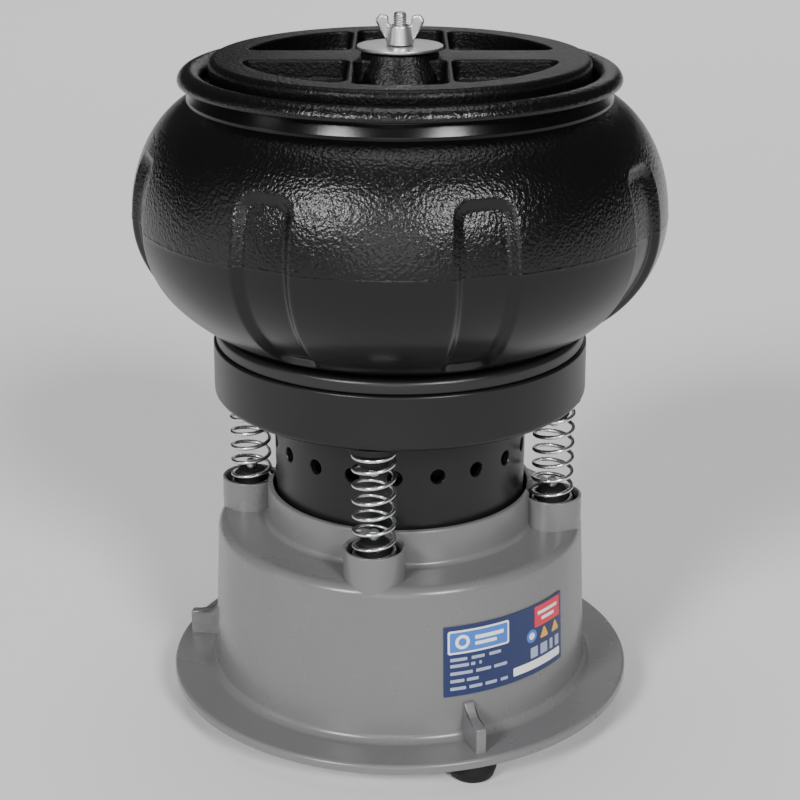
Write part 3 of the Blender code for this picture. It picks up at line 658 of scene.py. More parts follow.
# Zinc plate: bright, cool, faintly clouded by handling.
ZINC = TurnedMetal("bright_zinc_plate", "zinc", "#D2D3D3", 0.34, 1.0, grain_depth_mm=0.004, shift=0.06)
SPRING_WIRE = TurnedMetal("plated_spring_wire", "spring_steel", "#E2E3E4", 0.26, 1.0, grain_depth_mm=0.003,
                          shift=0.05)
MACHINED = TurnedMetal("machined_steel", "machined_steel", "#8E9092", 0.34, 1.0, grain_depth_mm=0.008,
                       shift=0.10)
ALUMINIUM = Finish("cast_aluminium", "cast_aluminium", "#A3A5A7", 0.46, 1.0, grain_mm=0.9,
                   grain_depth_mm=0.06)
LAMINATIONS = StackedSheets("stacked_electrical_steel", "laminated_steel", "#55575A", 0.45, 1.0,
                            grain_depth_mm=0.10, shift=0.25)
# Varnished windings: copper seen through a brown lacquer.
WINDING = Finish("varnished_copper_winding", "copper_winding", "#7C3F1C", 0.30, 0.6, grain_mm=0.8,
                 grain_depth_mm=0.12, shift=0.22, coat=0.6)
# The label: printed film under a clear coat.
FILM = Finish("printed_navy_film", "label_film", "#1D2A54", 0.34, ior=1.5, grain_mm=2.0, grain_depth_mm=0.006,
              shift=0.05)
WHITE_INK = Finish("white_ink", "label_film", "#E9E9EC", 0.40, grain_depth_mm=0.002, shift=0.02)
GREY_INK = Finish("pale_grey_ink", "label_film", "#9CA5BE", 0.40, grain_depth_mm=0.002, shift=0.03)
BLUE_INK = Finish("blue_ink", "label_film", "#3C6FC0", 0.38, grain_depth_mm=0.002, shift=0.03)
RED_INK = Finish("red_ink", "label_film", "#CF2B3E", 0.38, grain_depth_mm=0.002, shift=0.03)
AMBER_INK = Finish("amber_ink", "label_film", "#DDA52E", 0.38, grain_depth_mm=0.002, shift=0.03)
SWITCH_MARK = Finish("white_switch_mark", "black_abs", "#E4E4E2", 0.45, grain_depth_mm=0.002, shift=0.02)


def present(made: Object, body: str, finish: Finish, *nodes: str) -> Object:
    """Gives a piece its finish and body, and hides the frame nodes that it stands for.

    Args:
        made: the piece.
        body: the frame body that it moves with, or an empty text if it is tied otherwise.
        finish: its first finish.
        nodes: the frame nodes that it replaces.

    Returns:
        The piece.
    """
    if not made.data.materials:
        made.data.materials.append(finish.material())
    if body:
        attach(made, body)
    if nodes:
        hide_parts(*nodes)
    LOG.info("%s: %d faces, %s", made.name, len(made.data.polygons), finish.name)
    return made


def dress(finish: Finish, *nodes: str) -> None:
    """Gives frame nodes that stay in view a finish of their own."""
    for node in nodes:
        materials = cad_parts[node].data.materials
        materials.clear()
        materials.append(finish.material())
        LOG.info("%s: %s", node, finish.name)


# ---------------------------------------------------------------- base


@dataclass
class BaseShell:
    """The grey moulding: flange, wall, deck, collar, spring posts, gussets and rear pads."""

    columns: int = 288
    flange_top: float = 16.5 * MM
    foot_height: float = 12.0 * MM
    wall_foot: float = 89.5 * MM
    wall_head: float = 86.6 * MM
    deck: float = 90.0 * MM
    wall: float = 3.0 * MM
    collar_inner: float = 60.0 * MM
    collar_outer: float = 62.8 * MM
    recess: float = 104.1 * MM
    recess_depth: float = 1.8 * MM
    post_radius: float = 13.9 * MM
    socket_radius: float = 12.3 * MM
    socket_floor: float = 96.0 * MM
    post_top: float = 104.0 * MM
    rib_width: float = 4.8 * MM
    rib_azimuth: float = 20.0
    feet: int = 3
    pilot: float = 1.9 * MM
    switch_azimuth: float = 157.0
    switch_height: float = 50.0 * MM
    gland_azimuth: float = 180.0
    gland_height: float = 44.0 * MM
    pad_face: float = 90.5 * MM

    def wall_radius(self, height: Array | float) -> Array | float:
        """The wall's outer radius: it shrinks evenly from flange to deck."""
        low, high = self.flange_top + 4.0 * MM, self.deck - 4.5 * MM
        return self.wall_foot + (self.wall_head - self.wall_foot) * (height - low) / (high - low)

    def profile(self) -> Array:
        """The section, down the outer side from the collar and back up inside.

        Returns:
            Radius and height of the section's points.
        """
        top, flange = span("base_shell")[1], reach("base_shell")
        floor = self.foot_height + self.recess_depth
        inner_foot = self.wall_radius(floor) - self.wall
        return filleted([
            (self.collar_inner, top, 0.7 * MM),
            (self.collar_outer, top, 0.9 * MM),
            (self.collar_outer + 0.3 * MM, self.deck, 2.5 * MM),
            (self.wall_radius(self.deck), self.deck, 4.5 * MM),
            (self.wall_radius(self.flange_top), self.flange_top, 4.0 * MM),
            (flange, self.flange_top - 0.2 * MM, 1.6 * MM),
            (flange, self.foot_height, 0.5 * MM),
            (self.recess, self.foot_height, 0.3 * MM),
            (self.recess, floor, 0.3 * MM),
            (inner_foot, floor, 1.0 * MM),
            (self.wall_head - self.wall, self.deck - self.wall, 3.0 * MM),
            (self.collar_inner, self.deck - self.wall, 0.5 * MM),
        ])

    def post(self) -> Array:
        """A spring post's section, with a rounded lip and a little draft."""
        return filleted([
            (0.0, self.post_top, 0.0),
            (self.post_radius - 0.1 * MM, self.post_top, 0.5 * MM),
            (self.post_radius, self.deck - 10.0 * MM, 0.0),
            (0.0, self.deck - 10.0 * MM, 0.0),
        ], 4, closed=False)

    def rib(self) -> Array:
        """A gusset's side view: radius outwards and height upwards.

        Returns:
            The gusset's outline, as distance from the axis and height.
        """
        foot = self.flange_top - 1.0 * MM
        head = 34.0 * MM
        return filleted([
            (86.8 * MM, foot, 0.0), (105.5 * MM, foot, 0.0), (105.5 * MM, 28.0 * MM, 0.9 * MM),
            (94.6 * MM, 28.9 * MM, 4.5 * MM), (90.6 * MM, head, 1.4 * MM), (86.8 * MM, head, 0.0),
        ], 5)

    def build(self) -> Object:
        """Turns the section, adds what stands on it and cuts what is cut in it.

        Returns:
            The finished shell.
        """
        shell = solid("moulded_base", [turned(self.profile(), self.columns)])
        posts, sockets, pilots = [], [], []
        for number in range(1, 5):
            spot = centre(f"lower_spring_seat_{number}")
            place = at(spot.x, spot.y)
            posts.append(turned(self.post(), 72, closed=False).moved(place))
            socket = filleted([(0.0, 0.12, 0.0), (self.socket_radius + 0.5 * MM, 0.12, 0.0),
                               (self.socket_radius + 0.5 * MM, self.post_top, 0.0),
                               (self.socket_radius, self.post_top - 0.6 * MM, 0.0),
                               (self.socket_radius, self.socket_floor, 0.4 * MM),
                               (0.0, self.socket_floor, 0.0)], 3, closed=False)
            sockets.append(turned(socket, 72, closed=False).moved(place))
            pilots.append(self.hole(self.socket_floor - 5.2 * MM, self.socket_floor + 1.0 * MM).moved(place))
        half = self.rib_width / 2.0
        for number in range(self.feet):
            foot = centre(f"foot_{number + 1}")
            pilots.append(self.hole(self.foot_height - 1.0 * MM, 24.0 * MM).moved(at(foot.x, foot.y)))
        gusset = lofted(self.rib(), edge_rows(-half, half, 0.8 * MM))
        ribs = [gusset.moved(standing(self.rib_azimuth + 360.0 * k / self.feet)) for k in range(self.feet)]
        rear_switch = facing_out(self.switch_azimuth, self.pad_face, self.switch_height)
        rear_gland = facing_out(self.gland_azimuth, self.pad_face, self.gland_height)
        switch_pad = lofted(rounded_box(23.0 * MM, 30.0 * MM, 2.5 * MM), edge_rows(-6.5 * MM, 0.0, 0.8 * MM))
        gland_pad = lofted(arc((0.0, 0.0), 11.0 * MM, 0.0, 352.5, 48), edge_rows(-6.0 * MM, 0.0, 0.8 * MM))
        pads = [switch_pad.moved(rear_switch), gland_pad.moved(rear_gland)]
        carve(shell, posts, Cut.ADD)
        carve(shell, ribs + pads, Cut.ADD)
        bore = self.collar_inner - 0.002 * MM
        bored = np.array([(0.0, 0.13), (bore, 0.13), (bore, 0.07), (0.0, 0.07)])
        carve(shell, [turned(bored, self.columns, closed=False)])
        carve(shell, sockets)
        through = [(0.0, 10.0 * MM), (0.0, -20.0 * MM)]
        openings = [lofted(rounded_box(14.4 * MM, 21.4 * MM, 0.5 * MM), through).moved(rear_switch),
                    lofted(arc((0.0, 0.0), 6.6 * MM, 0.0, 350.0, 36), through).moved(rear_gland)]
        carve(shell, pilots + openings)
        even_normals(shell)
        return present(shell, "base", GREY_ABS, "base_shell")

    def hole(self, low: float, high: float) -> Patch:
        """A screw's pilot hole as a solid to cut with."""
        outline = np.array([(0.0, high), (self.pilot, high), (self.pilot, low), (0.0, low)])
        return turned(outline, 20, closed=False)


@dataclass
class Screw:
    """A cap screw with a hexagon recess; the shank leaves the head on one side."""

    head_radius: float
    head_low: float
    head_high: float
    shank_end: float
    shank_radius: float = 1.55 * MM
    recess_flats: float = 2.4 * MM
    pitch: float = 0.7 * MM
    columns: int = 36

    def patch(self) -> Patch:
        """Rows from the recess's floor out over the head and along the threaded shank.

        The thread lowers the shank by a triangle wave of (height / pitch - azimuth / one turn).

        Returns:
            The screw's closed surface.
        """
        azimuths = turn_angles(self.columns)
        size = self.head_high - self.head_low
        hexes = hexagon(azimuths, self.recess_flats)
        bend = 0.18 * size
        round_edge = arc((self.head_radius - bend, -bend), bend, 90.0, 0.0, 5)
        rows: list[tuple[Array | float, float]] = [(0.0, -0.5 * size), (hexes, -0.5 * size), (hexes, 0.0)]
        rows += [(float(r), float(z)) for r, z in round_edge]
        rows += [(self.head_radius, -size + 0.1 * MM), (self.head_radius - 0.1 * MM, -size)]
        rows += [(self.shank_radius, -size)]
        length = abs(self.shank_end - (self.head_low if self.shank_end < self.head_low else self.head_high))
        drops = np.linspace(0.2 * MM, length, max(4, int(length / self.pitch * 6)))
        for drop in drops:
            phase = (drop / self.pitch + azimuths / TAU) % 1.0
            taper = min(1.0, (length - drop) / (0.5 * MM) + 0.5)
            rows.append(((self.shank_radius - 0.28 * MM * np.abs(2.0 * phase - 1.0)) * taper, -size - drop))
        rows.append((0.0, -size - length))
        radii = np.stack([np.broadcast_to(r, azimuths.shape) for r, _ in rows])
        heights = np.array([z for _, z in rows])[:, None]
        if self.shank_end < self.head_low:
            return polar(radii, heights + self.head_high, azimuths)
        return polar(radii[::-1], self.head_low - heights[::-1], azimuths)


@dataclass
class Feet:
    """Three domed rubber feet, each with a screw up through it into the flange."""

    count: int = 3
    radius: float = 11.0 * MM
    lip: float = 3.4 * MM
    recess_radius: float = 4.4 * MM
    recess_depth: float = 4.2 * MM
    bore: float = 2.0 * MM

    def build(self) -> None:
        """One piece for each foot and each screw."""
        for number in range(1, self.count + 1):
            spot = centre(f"foot_{number}")
            top = span(f"foot_{number}")[1]
            profile = filleted([
                (self.bore, top, 0.0), (self.radius - 0.9 * MM, top, 0.5 * MM),
                (self.radius, 5.0 * MM, 1.2 * MM),
                (self.radius - 1.6 * MM, 0.0, 2.6 * MM), (self.recess_radius, 0.0, 0.6 * MM),
                (self.recess_radius, self.recess_depth, 0.3 * MM), (self.bore, self.recess_depth, 0.0),
            ])
            foot = solid(f"rubber_foot_{number}", [turned(profile, 64).moved(at(spot.x, spot.y))])
            present(foot, "base", RUBBER, f"foot_{number}")
            low, high = span(f"foot_screw_{number}")
            screw = Screw(3.8 * MM, low, low + 3.1 * MM, high)
            made = solid(f"foot_cap_screw_{number}", [screw.patch().moved(at(spot.x, spot.y))])
            present(made, "base", ZINC, f"foot_screw_{number}")


@dataclass
class RatingLabel:
    """A printed film wrapped round the wall, with plain blocks, bars and signs.

    Places on it are millimetres along the wall from the left edge, and up from the lower edge.
    """

    shell: BaseShell
    start: float = 12.6
    turn: float = 44.0
    low: float = 37.5 * MM
    high: float = 71.3 * MM
    stand_off: float = 0.4 * MM
    film: float = 0.3 * MM
    ink: float = 0.05 * MM
    rings: int = 9

    def on_wall(self, flat: Array, lift: Array | float) -> Array:
        """Bends flat millimetres onto the wall: x becomes an azimuth, y a height, lift a radius.

        Args:
            flat: places on the flat label, in millimetres.
            lift: distance above the wall, in metres.

        Returns:
            The places on the wall.
        """
        z = self.low + flat[..., 1] * MM
        mean = self.shell.wall_radius((self.low + self.high) / 2.0)
        azimuth = math.radians(self.start) + flat[..., 0] * MM / mean
        r = self.shell.wall_radius(z) + lift
        return np.stack([r * np.sin(azimuth), -r * np.cos(azimuth), z], axis=-1)

    def shape(self, outline: Array, low: float, high: float) -> Patch:
        """A thin solid on the wall: copies of the outline shrunk towards its middle, above and below.

        Args:
            outline: the flat outline, in millimetres.
            low: the underside's distance above the wall.
            high: the upper side's distance above the wall.

        Returns:
            The closed surface.
        """
        middle = outline.mean(axis=0)
        scales = np.linspace(0.0, 1.0, self.rings)
        both = np.concatenate([scales, scales[::-1]])[:, None, None]
        lift = np.repeat([high, low], self.rings)[:, None]
        return grid(self.on_wall(middle + (outline - middle) * both, lift))

    def block(self, left: float, right: float, low: float, high: float, level: int = 1,
              corner: float = 0.3) -> Patch:
        """A rectangle with round corners, on the first or a later layer of ink, in short steps.

        Args:
            left: the left side, in millimetres.
            right: the right side.
            low: the lower side.
            high: the upper side.
            level: the layer of ink, from one.
            corner: radius of the corners.

        Returns:
            The closed surface.
        """
        box = rounded_box(right - left, high - low, min(corner, (high - low) / 2.01), 3)
        ends = np.roll(box, -1, axis=0)
        counts = np.maximum(1, np.ceil(np.linalg.norm(ends - box, axis=1) / 1.5).astype(int))
        dense = [a + (b - a) * np.linspace(0.0, 1.0, n, endpoint=False)[:, None]
                 for a, b, n in zip(box, ends, counts)]
        outline = np.vstack(dense) + np.array([(left + right) / 2.0, (low + high) / 2.0])
        return self.layer(outline, level)

    def layer(self, outline: Array, level: int) -> Patch:
        """An outline as one layer of ink above the film."""
        base = self.stand_off + self.film
        return self.shape(outline, base + (level - 1) * self.ink, base + level * self.ink)

    def dot(self, x: float, y: float, radius: float, level: int = 1) -> Patch:
        """A round spot of ink."""
        return self.layer(arc((x, y), radius, 0.0, 348.75, 32), level)

    def triangle(self, x: float, y: float, half: float, level: int = 1) -> Patch:
        """An upright triangle with round corners."""
        return self.layer(filleted([(x + half, y - half * 0.9, 0.6), (x, y + half * 1.05, 0.6),
                                    (x - half, y - half * 0.9, 0.6)], 4), level)

    def words(self) -> list[Patch]:
        """Rows of short bars in place of printed lines."""
        rows = ((17.7, ((2.9, 10.8), (12.9, 19.2), (21.6, 27.6))),
                (14.7, ((2.9, 11.6), (12.6, 14.6), (16.6, 17.8))),
                (11.0, ((2.9, 13.4), (15.0, 22.4), (24.0, 30.8))),
                (7.3, ((2.9, 9.4), (10.6, 16.2))),
                (3.6, ((2.9, 10.2), (11.8, 18.0), (19.6, 25.4), (27.4, 31.2))))
        return [self.block(left, right, y - 0.75, y + 0.75) for y, bars in rows for left, right in bars]

    def build(self) -> None:
        """The film and its inks, each colour one piece."""
        mean = self.shell.wall_radius((self.low + self.high) / 2.0)
        width, height = math.radians(self.turn) * mean / MM, (self.high - self.low) / MM
        columns, rows = np.linspace(0.0, width, 60), np.linspace(height, 0.0, 16)
        x = np.concatenate([columns, columns[::-1]])
        lift = np.repeat([self.stand_off + self.film, self.stand_off], 60)
        flat = np.stack(np.broadcast_arrays(x[None], rows[:, None]), axis=-1)
        body = self.on_wall(flat, lift[None])
        half_way = self.stand_off + self.film / 2.0
        middle = self.on_wall(np.stack([x, np.full(120, height)], -1), half_way)
        foot = self.on_wall(np.stack([x, np.full(120, 0.0)], -1), half_way)
        film = solid("label_film", [grid(np.concatenate([middle[None], body, foot[None]]))])
        present(film, "base", FILM, "rating_label")
        frames = [self.block(1.8, 32.0, 20.4, 31.7, 1, 1.0), self.dot(8.6, 26.0, 3.4, 3),
                  self.block(14.6, 29.0, 26.4, 28.2, 3), self.block(14.6, 25.4, 23.6, 25.2, 3),
                  self.block(34.4, 65.7, 2.7, 6.8, 1, 0.6)]
        red_bars = [self.block(49.6, 63.6, 28.4, 30.0, 2), self.block(52.2, 61.2, 25.2, 26.8, 2)]
        signs = [self.dot(45.6, 19.2, 1.7, 2)]
        edges = ((44.8, 49.4), (51.3, 56.1), (58.0, 60.2), (62.2, 65.2))
        marks = [self.block(left, right, 8.2, 13.4) for left, right in edges]
        blues = [self.block(2.7, 31.1, 21.3, 30.8, 2, 0.7), self.dot(45.6, 19.2, 3.2),
                 self.dot(8.6, 26.0, 1.9, 4)]
        inks = (
            ("label_white_ink", WHITE_INK, frames + red_bars + signs),
            ("label_grey_ink", GREY_INK, self.words() + marks),
            ("label_blue_ink", BLUE_INK, blues),
            ("label_red_ink", RED_INK, [self.block(47.5, 65.9, 22.6, 32.8, 1, 0.4)]),
            ("label_amber_ink", AMBER_INK, [self.triangle(54.0, 18.8, 3.0), self.triangle(62.3, 18.8, 3.0)]),
        )
        for name, finish, patches in inks:
            present(solid(name, patches), "base", finish)


@dataclass
class RearFittings:
    """The cord gland and the rocker switch on the back of the wall."""

    shell: BaseShell
    tilt: float = -8.0

    def build(self) -> None:
        """Gland, switch body, rocker and its two marks."""
        place = facing_out(self.shell.gland_azimuth, self.shell.pad_face, self.shell.gland_height)
        nose = np.linspace(9.5, 3.2, 33)
        ribbed = (5.2 + (9.5 - nose) * 0.19 + 0.32 * np.cos(TAU * (nose - 3.2) / 1.575)) * MM
        outside = np.stack([ribbed, nose * MM], axis=-1)
        collar = filleted([(8.5 * MM, 2.9 * MM, 0.6 * MM), (8.5 * MM, GAP, 0.4 * MM),
                           (6.2 * MM, GAP, 0.2 * MM), *in_mm((6.2, -12.0, 0.5), (3.6, -12.0, 0.3))], 4)
        profile = np.vstack([[(3.6 * MM, 9.5 * MM)], outside, collar])
        flip = Matrix.Rotation(math.pi, 4, "Z")
        gland = solid("ribbed_cord_gland", [turned(profile, 56).moved(place @ flip)])
        present(gland, "base", RUBBER, "cord_gland")
        self.switch()

    def switch(self) -> None:
        """A framed body with a well, and a hollowed rocker leaning in it."""
        shell = self.shell
        place = facing_out(shell.switch_azimuth, shell.pad_face, shell.switch_height)
        block = lofted(rounded_box(13.8 * MM, 20.8 * MM, 0.5 * MM), edge_rows(-14.0 * MM, 1.0 * MM, 0.3 * MM))
        body = solid("switch_frame", [block.moved(place)])
        bezel = edge_rows(GAP, 2.0 * MM, 0.6 * MM)
        carve(body, [lofted(rounded_box(17.0 * MM, 24.4 * MM, 1.4 * MM), bezel).moved(place)], Cut.ADD)
        well = [(0.0, 10.0 * MM), (0.0, -6.0 * MM)]
        carve(body, [lofted(rounded_box(10.2 * MM, 17.8 * MM, 0.6 * MM), well).moved(place)])
        present(body, "base", BLACK_ABS, "switch_body")
        half, rise = 7.6 * MM, 2.6 * MM
        outline = filleted([(half, rise, 0.5 * MM), (half / 2.0, 1.7 * MM, 3.0 * MM),
                            (0.0, 1.4 * MM, 3.0 * MM), (-half / 2.0, 1.7 * MM, 3.0 * MM),
                            (-half, rise, 0.5 * MM),
                            (-half, -1.0 * MM, 0.4 * MM), *in_mm((-1.8, -3.8, 0.6), (1.8, -3.8, 0.6)),
                            (half, -1.0 * MM, 0.4 * MM)])
        lean = Matrix.Rotation(math.radians(self.tilt), 4, "X")
        pivot = facing_out(shell.switch_azimuth, shell.pad_face + 1.0 * MM, shell.switch_height)
        side = Matrix(((0, 0, 1, 0), (1, 0, 0, 0), (0, 1, 0, 0), (0, 0, 0, 1)))
        cap = lofted(outline, edge_rows(-4.6 * MM, 4.6 * MM, 0.5 * MM))
        rocker = solid("rocker_cap", [cap.moved(pivot @ lean @ side)])
        present(rocker, "rocker", BLACK_ABS, "switch_rocker")
        bar = lofted(rounded_box(0.7 * MM, 3.0 * MM, 0.2 * MM), edge_rows(1.4 * MM, 2.16 * MM, 0.05 * MM))
        ring_profile = np.array([(1.5, 2.16), (1.5, 1.3), (0.9, 1.3), (0.9, 2.16)]) * MM
        ring = turned(ring_profile, 32)
        marks = [bar.moved(pivot @ lean @ at(0.0, 4.2 * MM)), ring.moved(pivot @ lean @ at(0.0, -4.2 * MM))]
        present(solid("switch_marks", marks), "rocker", SWITCH_MARK)


# ---------------------------------------------------------------- springs


@dataclass
class SpringMounts:
    """Four coil springs, each between two rubber seats with spigots and screws."""

    coil_radius: float = 9.0 * MM
    wire: float = 1.9 * MM
    pitch: float = 7.28 * MM
    closed_pitch: float = 2.2 * MM
    start: float = 92.0
    points_per_turn: int = 40
    wire_sides: int = 12
    spigot_radius: float = 7.25 * MM
    seat_radius: float = 11.9 * MM
    seat: float = 3.0 * MM
    spigot: float = 8.5 * MM
    bore: float = 1.9 * MM

    def coil(self, low: float, high: float) -> Patch:
        """A wire whose height grows by the closed pitch in its end turns and the open pitch between.

        Its place at turn t is (R cos, R sin) of the start angle plus t turns, and the wire thins to
        nothing over its last two millimetres, where its ends are ground off.

        Args:
            low: height of the lower end.
            high: height of the upper end.

        Returns:
            The wire's closed surface about the origin's axis.
        """
        open_turns = (high - low - 2.0 * self.closed_pitch) / self.pitch
        total = open_turns + 2.0
        turn = np.linspace(0.0, total, int(total * self.points_per_turn))
        knots = [0.0, 1.0, 1.0 + open_turns, total]
        rise = np.interp(turn, knots, [low, low + self.closed_pitch, high - self.closed_pitch, high])
        angle = math.radians(self.start) + TAU * turn
        out = np.stack([np.cos(angle), np.sin(angle), np.zeros_like(angle)], axis=-1)
        path = out * self.coil_radius
        path[:, 2] = rise
        ends = np.minimum(turn, total - turn) * TAU * self.coil_radius / (0.5 * MM)
        radii = self.wire / 2.0 * np.sqrt(np.clip(ends + 0.35, 0.0, 1.0))
        return swept(path, out, radii, self.wire_sides)

    def seat_profile(self) -> Array:
        """A seat with its spigot upwards and its flat face at height 0."""
        top = self.seat + self.spigot
        return filleted([
            (self.bore, top, 0.0), (self.spigot_radius - 0.2 * MM, top, 3.0 * MM),
            (self.spigot_radius, self.seat, 0.6 * MM), (self.seat_radius, self.seat, 0.5 * MM),
            (self.seat_radius, 0.0, 0.4 * MM), (self.bore, 0.0, 0.0),
        ])

    def build(self) -> None:
        """Every spring with what holds it."""
        profile = self.seat_profile()
        for number in range(1, 5):
            spot = centre(f"lower_spring_seat_{number}")
            place = at(spot.x, spot.y)
            lower_low, lower_high = span(f"lower_spring_seat_{number}")
            upper_low, upper_high = span(f"upper_spring_seat_{number}")
            lower = turned(profile + np.array([0.0, lower_low]), 56).moved(place)
            upper_profile = profile[::-1] * np.array([1.0, -1.0]) + np.array([0.0, upper_high])
            upper = turned(upper_profile, 56).moved(place)
            present(solid(f"lower_rubber_seat_{number}", [lower]), "base", RUBBER,
                    f"lower_spring_seat_{number}")
            present(solid(f"upper_rubber_seat_{number}", [upper]), "shaker", RUBBER,
                    f"upper_spring_seat_{number}")
            low, high = span(f"lower_seat_screw_{number}")
            screw = Screw(2.2 * MM, lower_high + GAP, high, low)
            present(solid(f"lower_cap_screw_{number}", [screw.patch().moved(place)]), "base", ZINC,
                    f"lower_seat_screw_{number}")
            low, high = span(f"upper_seat_screw_{number}")
            screw = Screw(2.2 * MM, low, upper_low - GAP, high)
            present(solid(f"upper_cap_screw_{number}", [screw.patch().moved(place)]), "shaker", ZINC,
                    f"upper_seat_screw_{number}")
            bottom, top = span(f"spring_{number}")
            low, high = bottom + self.wire / 2.0, top - self.wire / 2.0
            spring = solid(f"coil_spring_{number}", [self.coil(low, high).moved(place)])
            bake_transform(spring)
            present(spring, "", SPRING_WIRE, f"spring_{number}")


# ---------------------------------------------------------------- platform and housing


@dataclass
class Platform:
    """The drum under the bowl, with a pedestal for the rod, and the rubber ring on its rim."""

    columns: int = 240
    plate: float = 5.0 * MM
    pedestal_top: float = 184.5 * MM
    rod_floor: float = 162.2 * MM
    rod_bore: float = 3.3 * MM
    bolt_ring: float = 48.0 * MM
    bolt_azimuth: float = 35.0

    def build(self) -> None:
        """The drum, its screw holes and the ring."""
        radius, (low, _) = reach("platform"), span("platform")
        rim = span("bowl_ring")[0] - GAP
        floor = low + self.plate
        profile = filleted([
            (0.0, self.rod_floor, 0.0), (self.rod_bore, self.rod_floor, 0.0),
            (self.rod_bore, self.pedestal_top, 0.3 * MM), (20.0 * MM, self.pedestal_top, 1.2 * MM),
            (24.5 * MM, floor, 3.0 * MM), (radius - 4.5 * MM, floor, 2.0 * MM),
            (radius - 3.2 * MM, rim, 0.5 * MM), (radius - 0.2 * MM, rim, 1.1 * MM),
            (radius, low, 3.0 * MM), (0.0, low, 0.0),
        ], closed=False)
        drum = solid("motor_platform", [turned(profile, self.columns, closed=False)])
        spots = [centre(f"upper_spring_seat_{number}") for number in range(1, 5)]
        holes = [self.hole(1.9 * MM, low).moved(at(spot.x, spot.y)) for spot in spots]
        for number in range(3):
            spot = centre(f"motor_bolt_{number + 1}")
            holes.append(self.hole(2.3 * MM, low).moved(at(spot.x, spot.y)))
        carve(drum, holes)
        even_normals(drum)
        present(drum, "shaker", BLACK_ABS, "platform")
        inner, outer = 74.0 * MM, reach("bowl_ring")
        low, high = span("bowl_ring")
        ring = filleted([(inner, high, 0.5 * MM), (outer, high, 2.2 * MM),
                         (outer, low, 0.8 * MM), (inner, low, 0.3 * MM)])
        present(solid("rubber_bowl_ring", [turned(ring, self.columns)]), "shaker", RING_RUBBER, "bowl_ring")

    def hole(self, radius: float, low: float) -> Patch:
        """A blind hole from the drum's underside, as a solid to cut with."""
        high, low = low + 4.2 * MM, low - 1.0 * MM
        return turned(np.array([(0.0, high), (radius, high), (radius, low), (0.0, low)]), 20, closed=False)


@dataclass
class MotorHousing:
    """The round skirt that hangs from the platform, with a row of round vents."""

    columns: int = 288
    wall: float = 2.8 * MM
    foot_radius: float = 58.2 * MM
    flange_inner: float = 44.5 * MM
    vent_count: int = 19
    vent_radius: float = 3.3 * MM
    vent_height: float = 130.8 * MM
    first_vent: float = -2.3

    def build(self) -> None:
        """Turns the wall with its inward flange and cuts the vents."""
        radius, (low, high) = reach("motor_housing"), span("motor_housing")
        profile = filleted([
            (self.flange_inner, high, 0.3 * MM), (radius, high, 0.5 * MM), (self.foot_radius, low, 0.8 * MM),
            (self.foot_radius - self.wall, low, 0.8 * MM), (radius - self.wall, high - 3.0 * MM, 1.5 * MM),
            (self.flange_inner, high - 3.0 * MM, 0.3 * MM),
        ])
        skirt = solid("vented_motor_skirt", [turned(profile, self.columns)])
        flare = [(-0.5 * MM, 4.0 * MM), (-0.5 * MM, 0.1 * MM), (0.0, -0.5 * MM), (0.0, -8.0 * MM)]
        circle = arc((0.0, 0.0), self.vent_radius, 0.0, 348.75, 32)
        step = 360.0 / self.vent_count
        face = radius - 0.2 * MM
        vents = [lofted(circle, flare).moved(facing_out(self.first_vent + step * k, face, self.vent_height))
                 for k in range(self.vent_count)]
        bolts = []
        for number in range(3):
            spot = centre(f"motor_bolt_{number + 1}")
            bolt = np.array([(0.0, high + 2.0 * MM), (2.3 * MM, high + 2.0 * MM),
                             (2.3 * MM, high - 5.0 * MM), (0.0, high - 5.0 * MM)])
            bolts.append(turned(bolt, 20, closed=False).moved(at(spot.x, spot.y)))
        carve(skirt, vents + bolts)
        even_normals(skirt)
        present(skirt, "shaker", BLACK_ABS, "motor_housing")


# ---------------------------------------------------------------- bowl


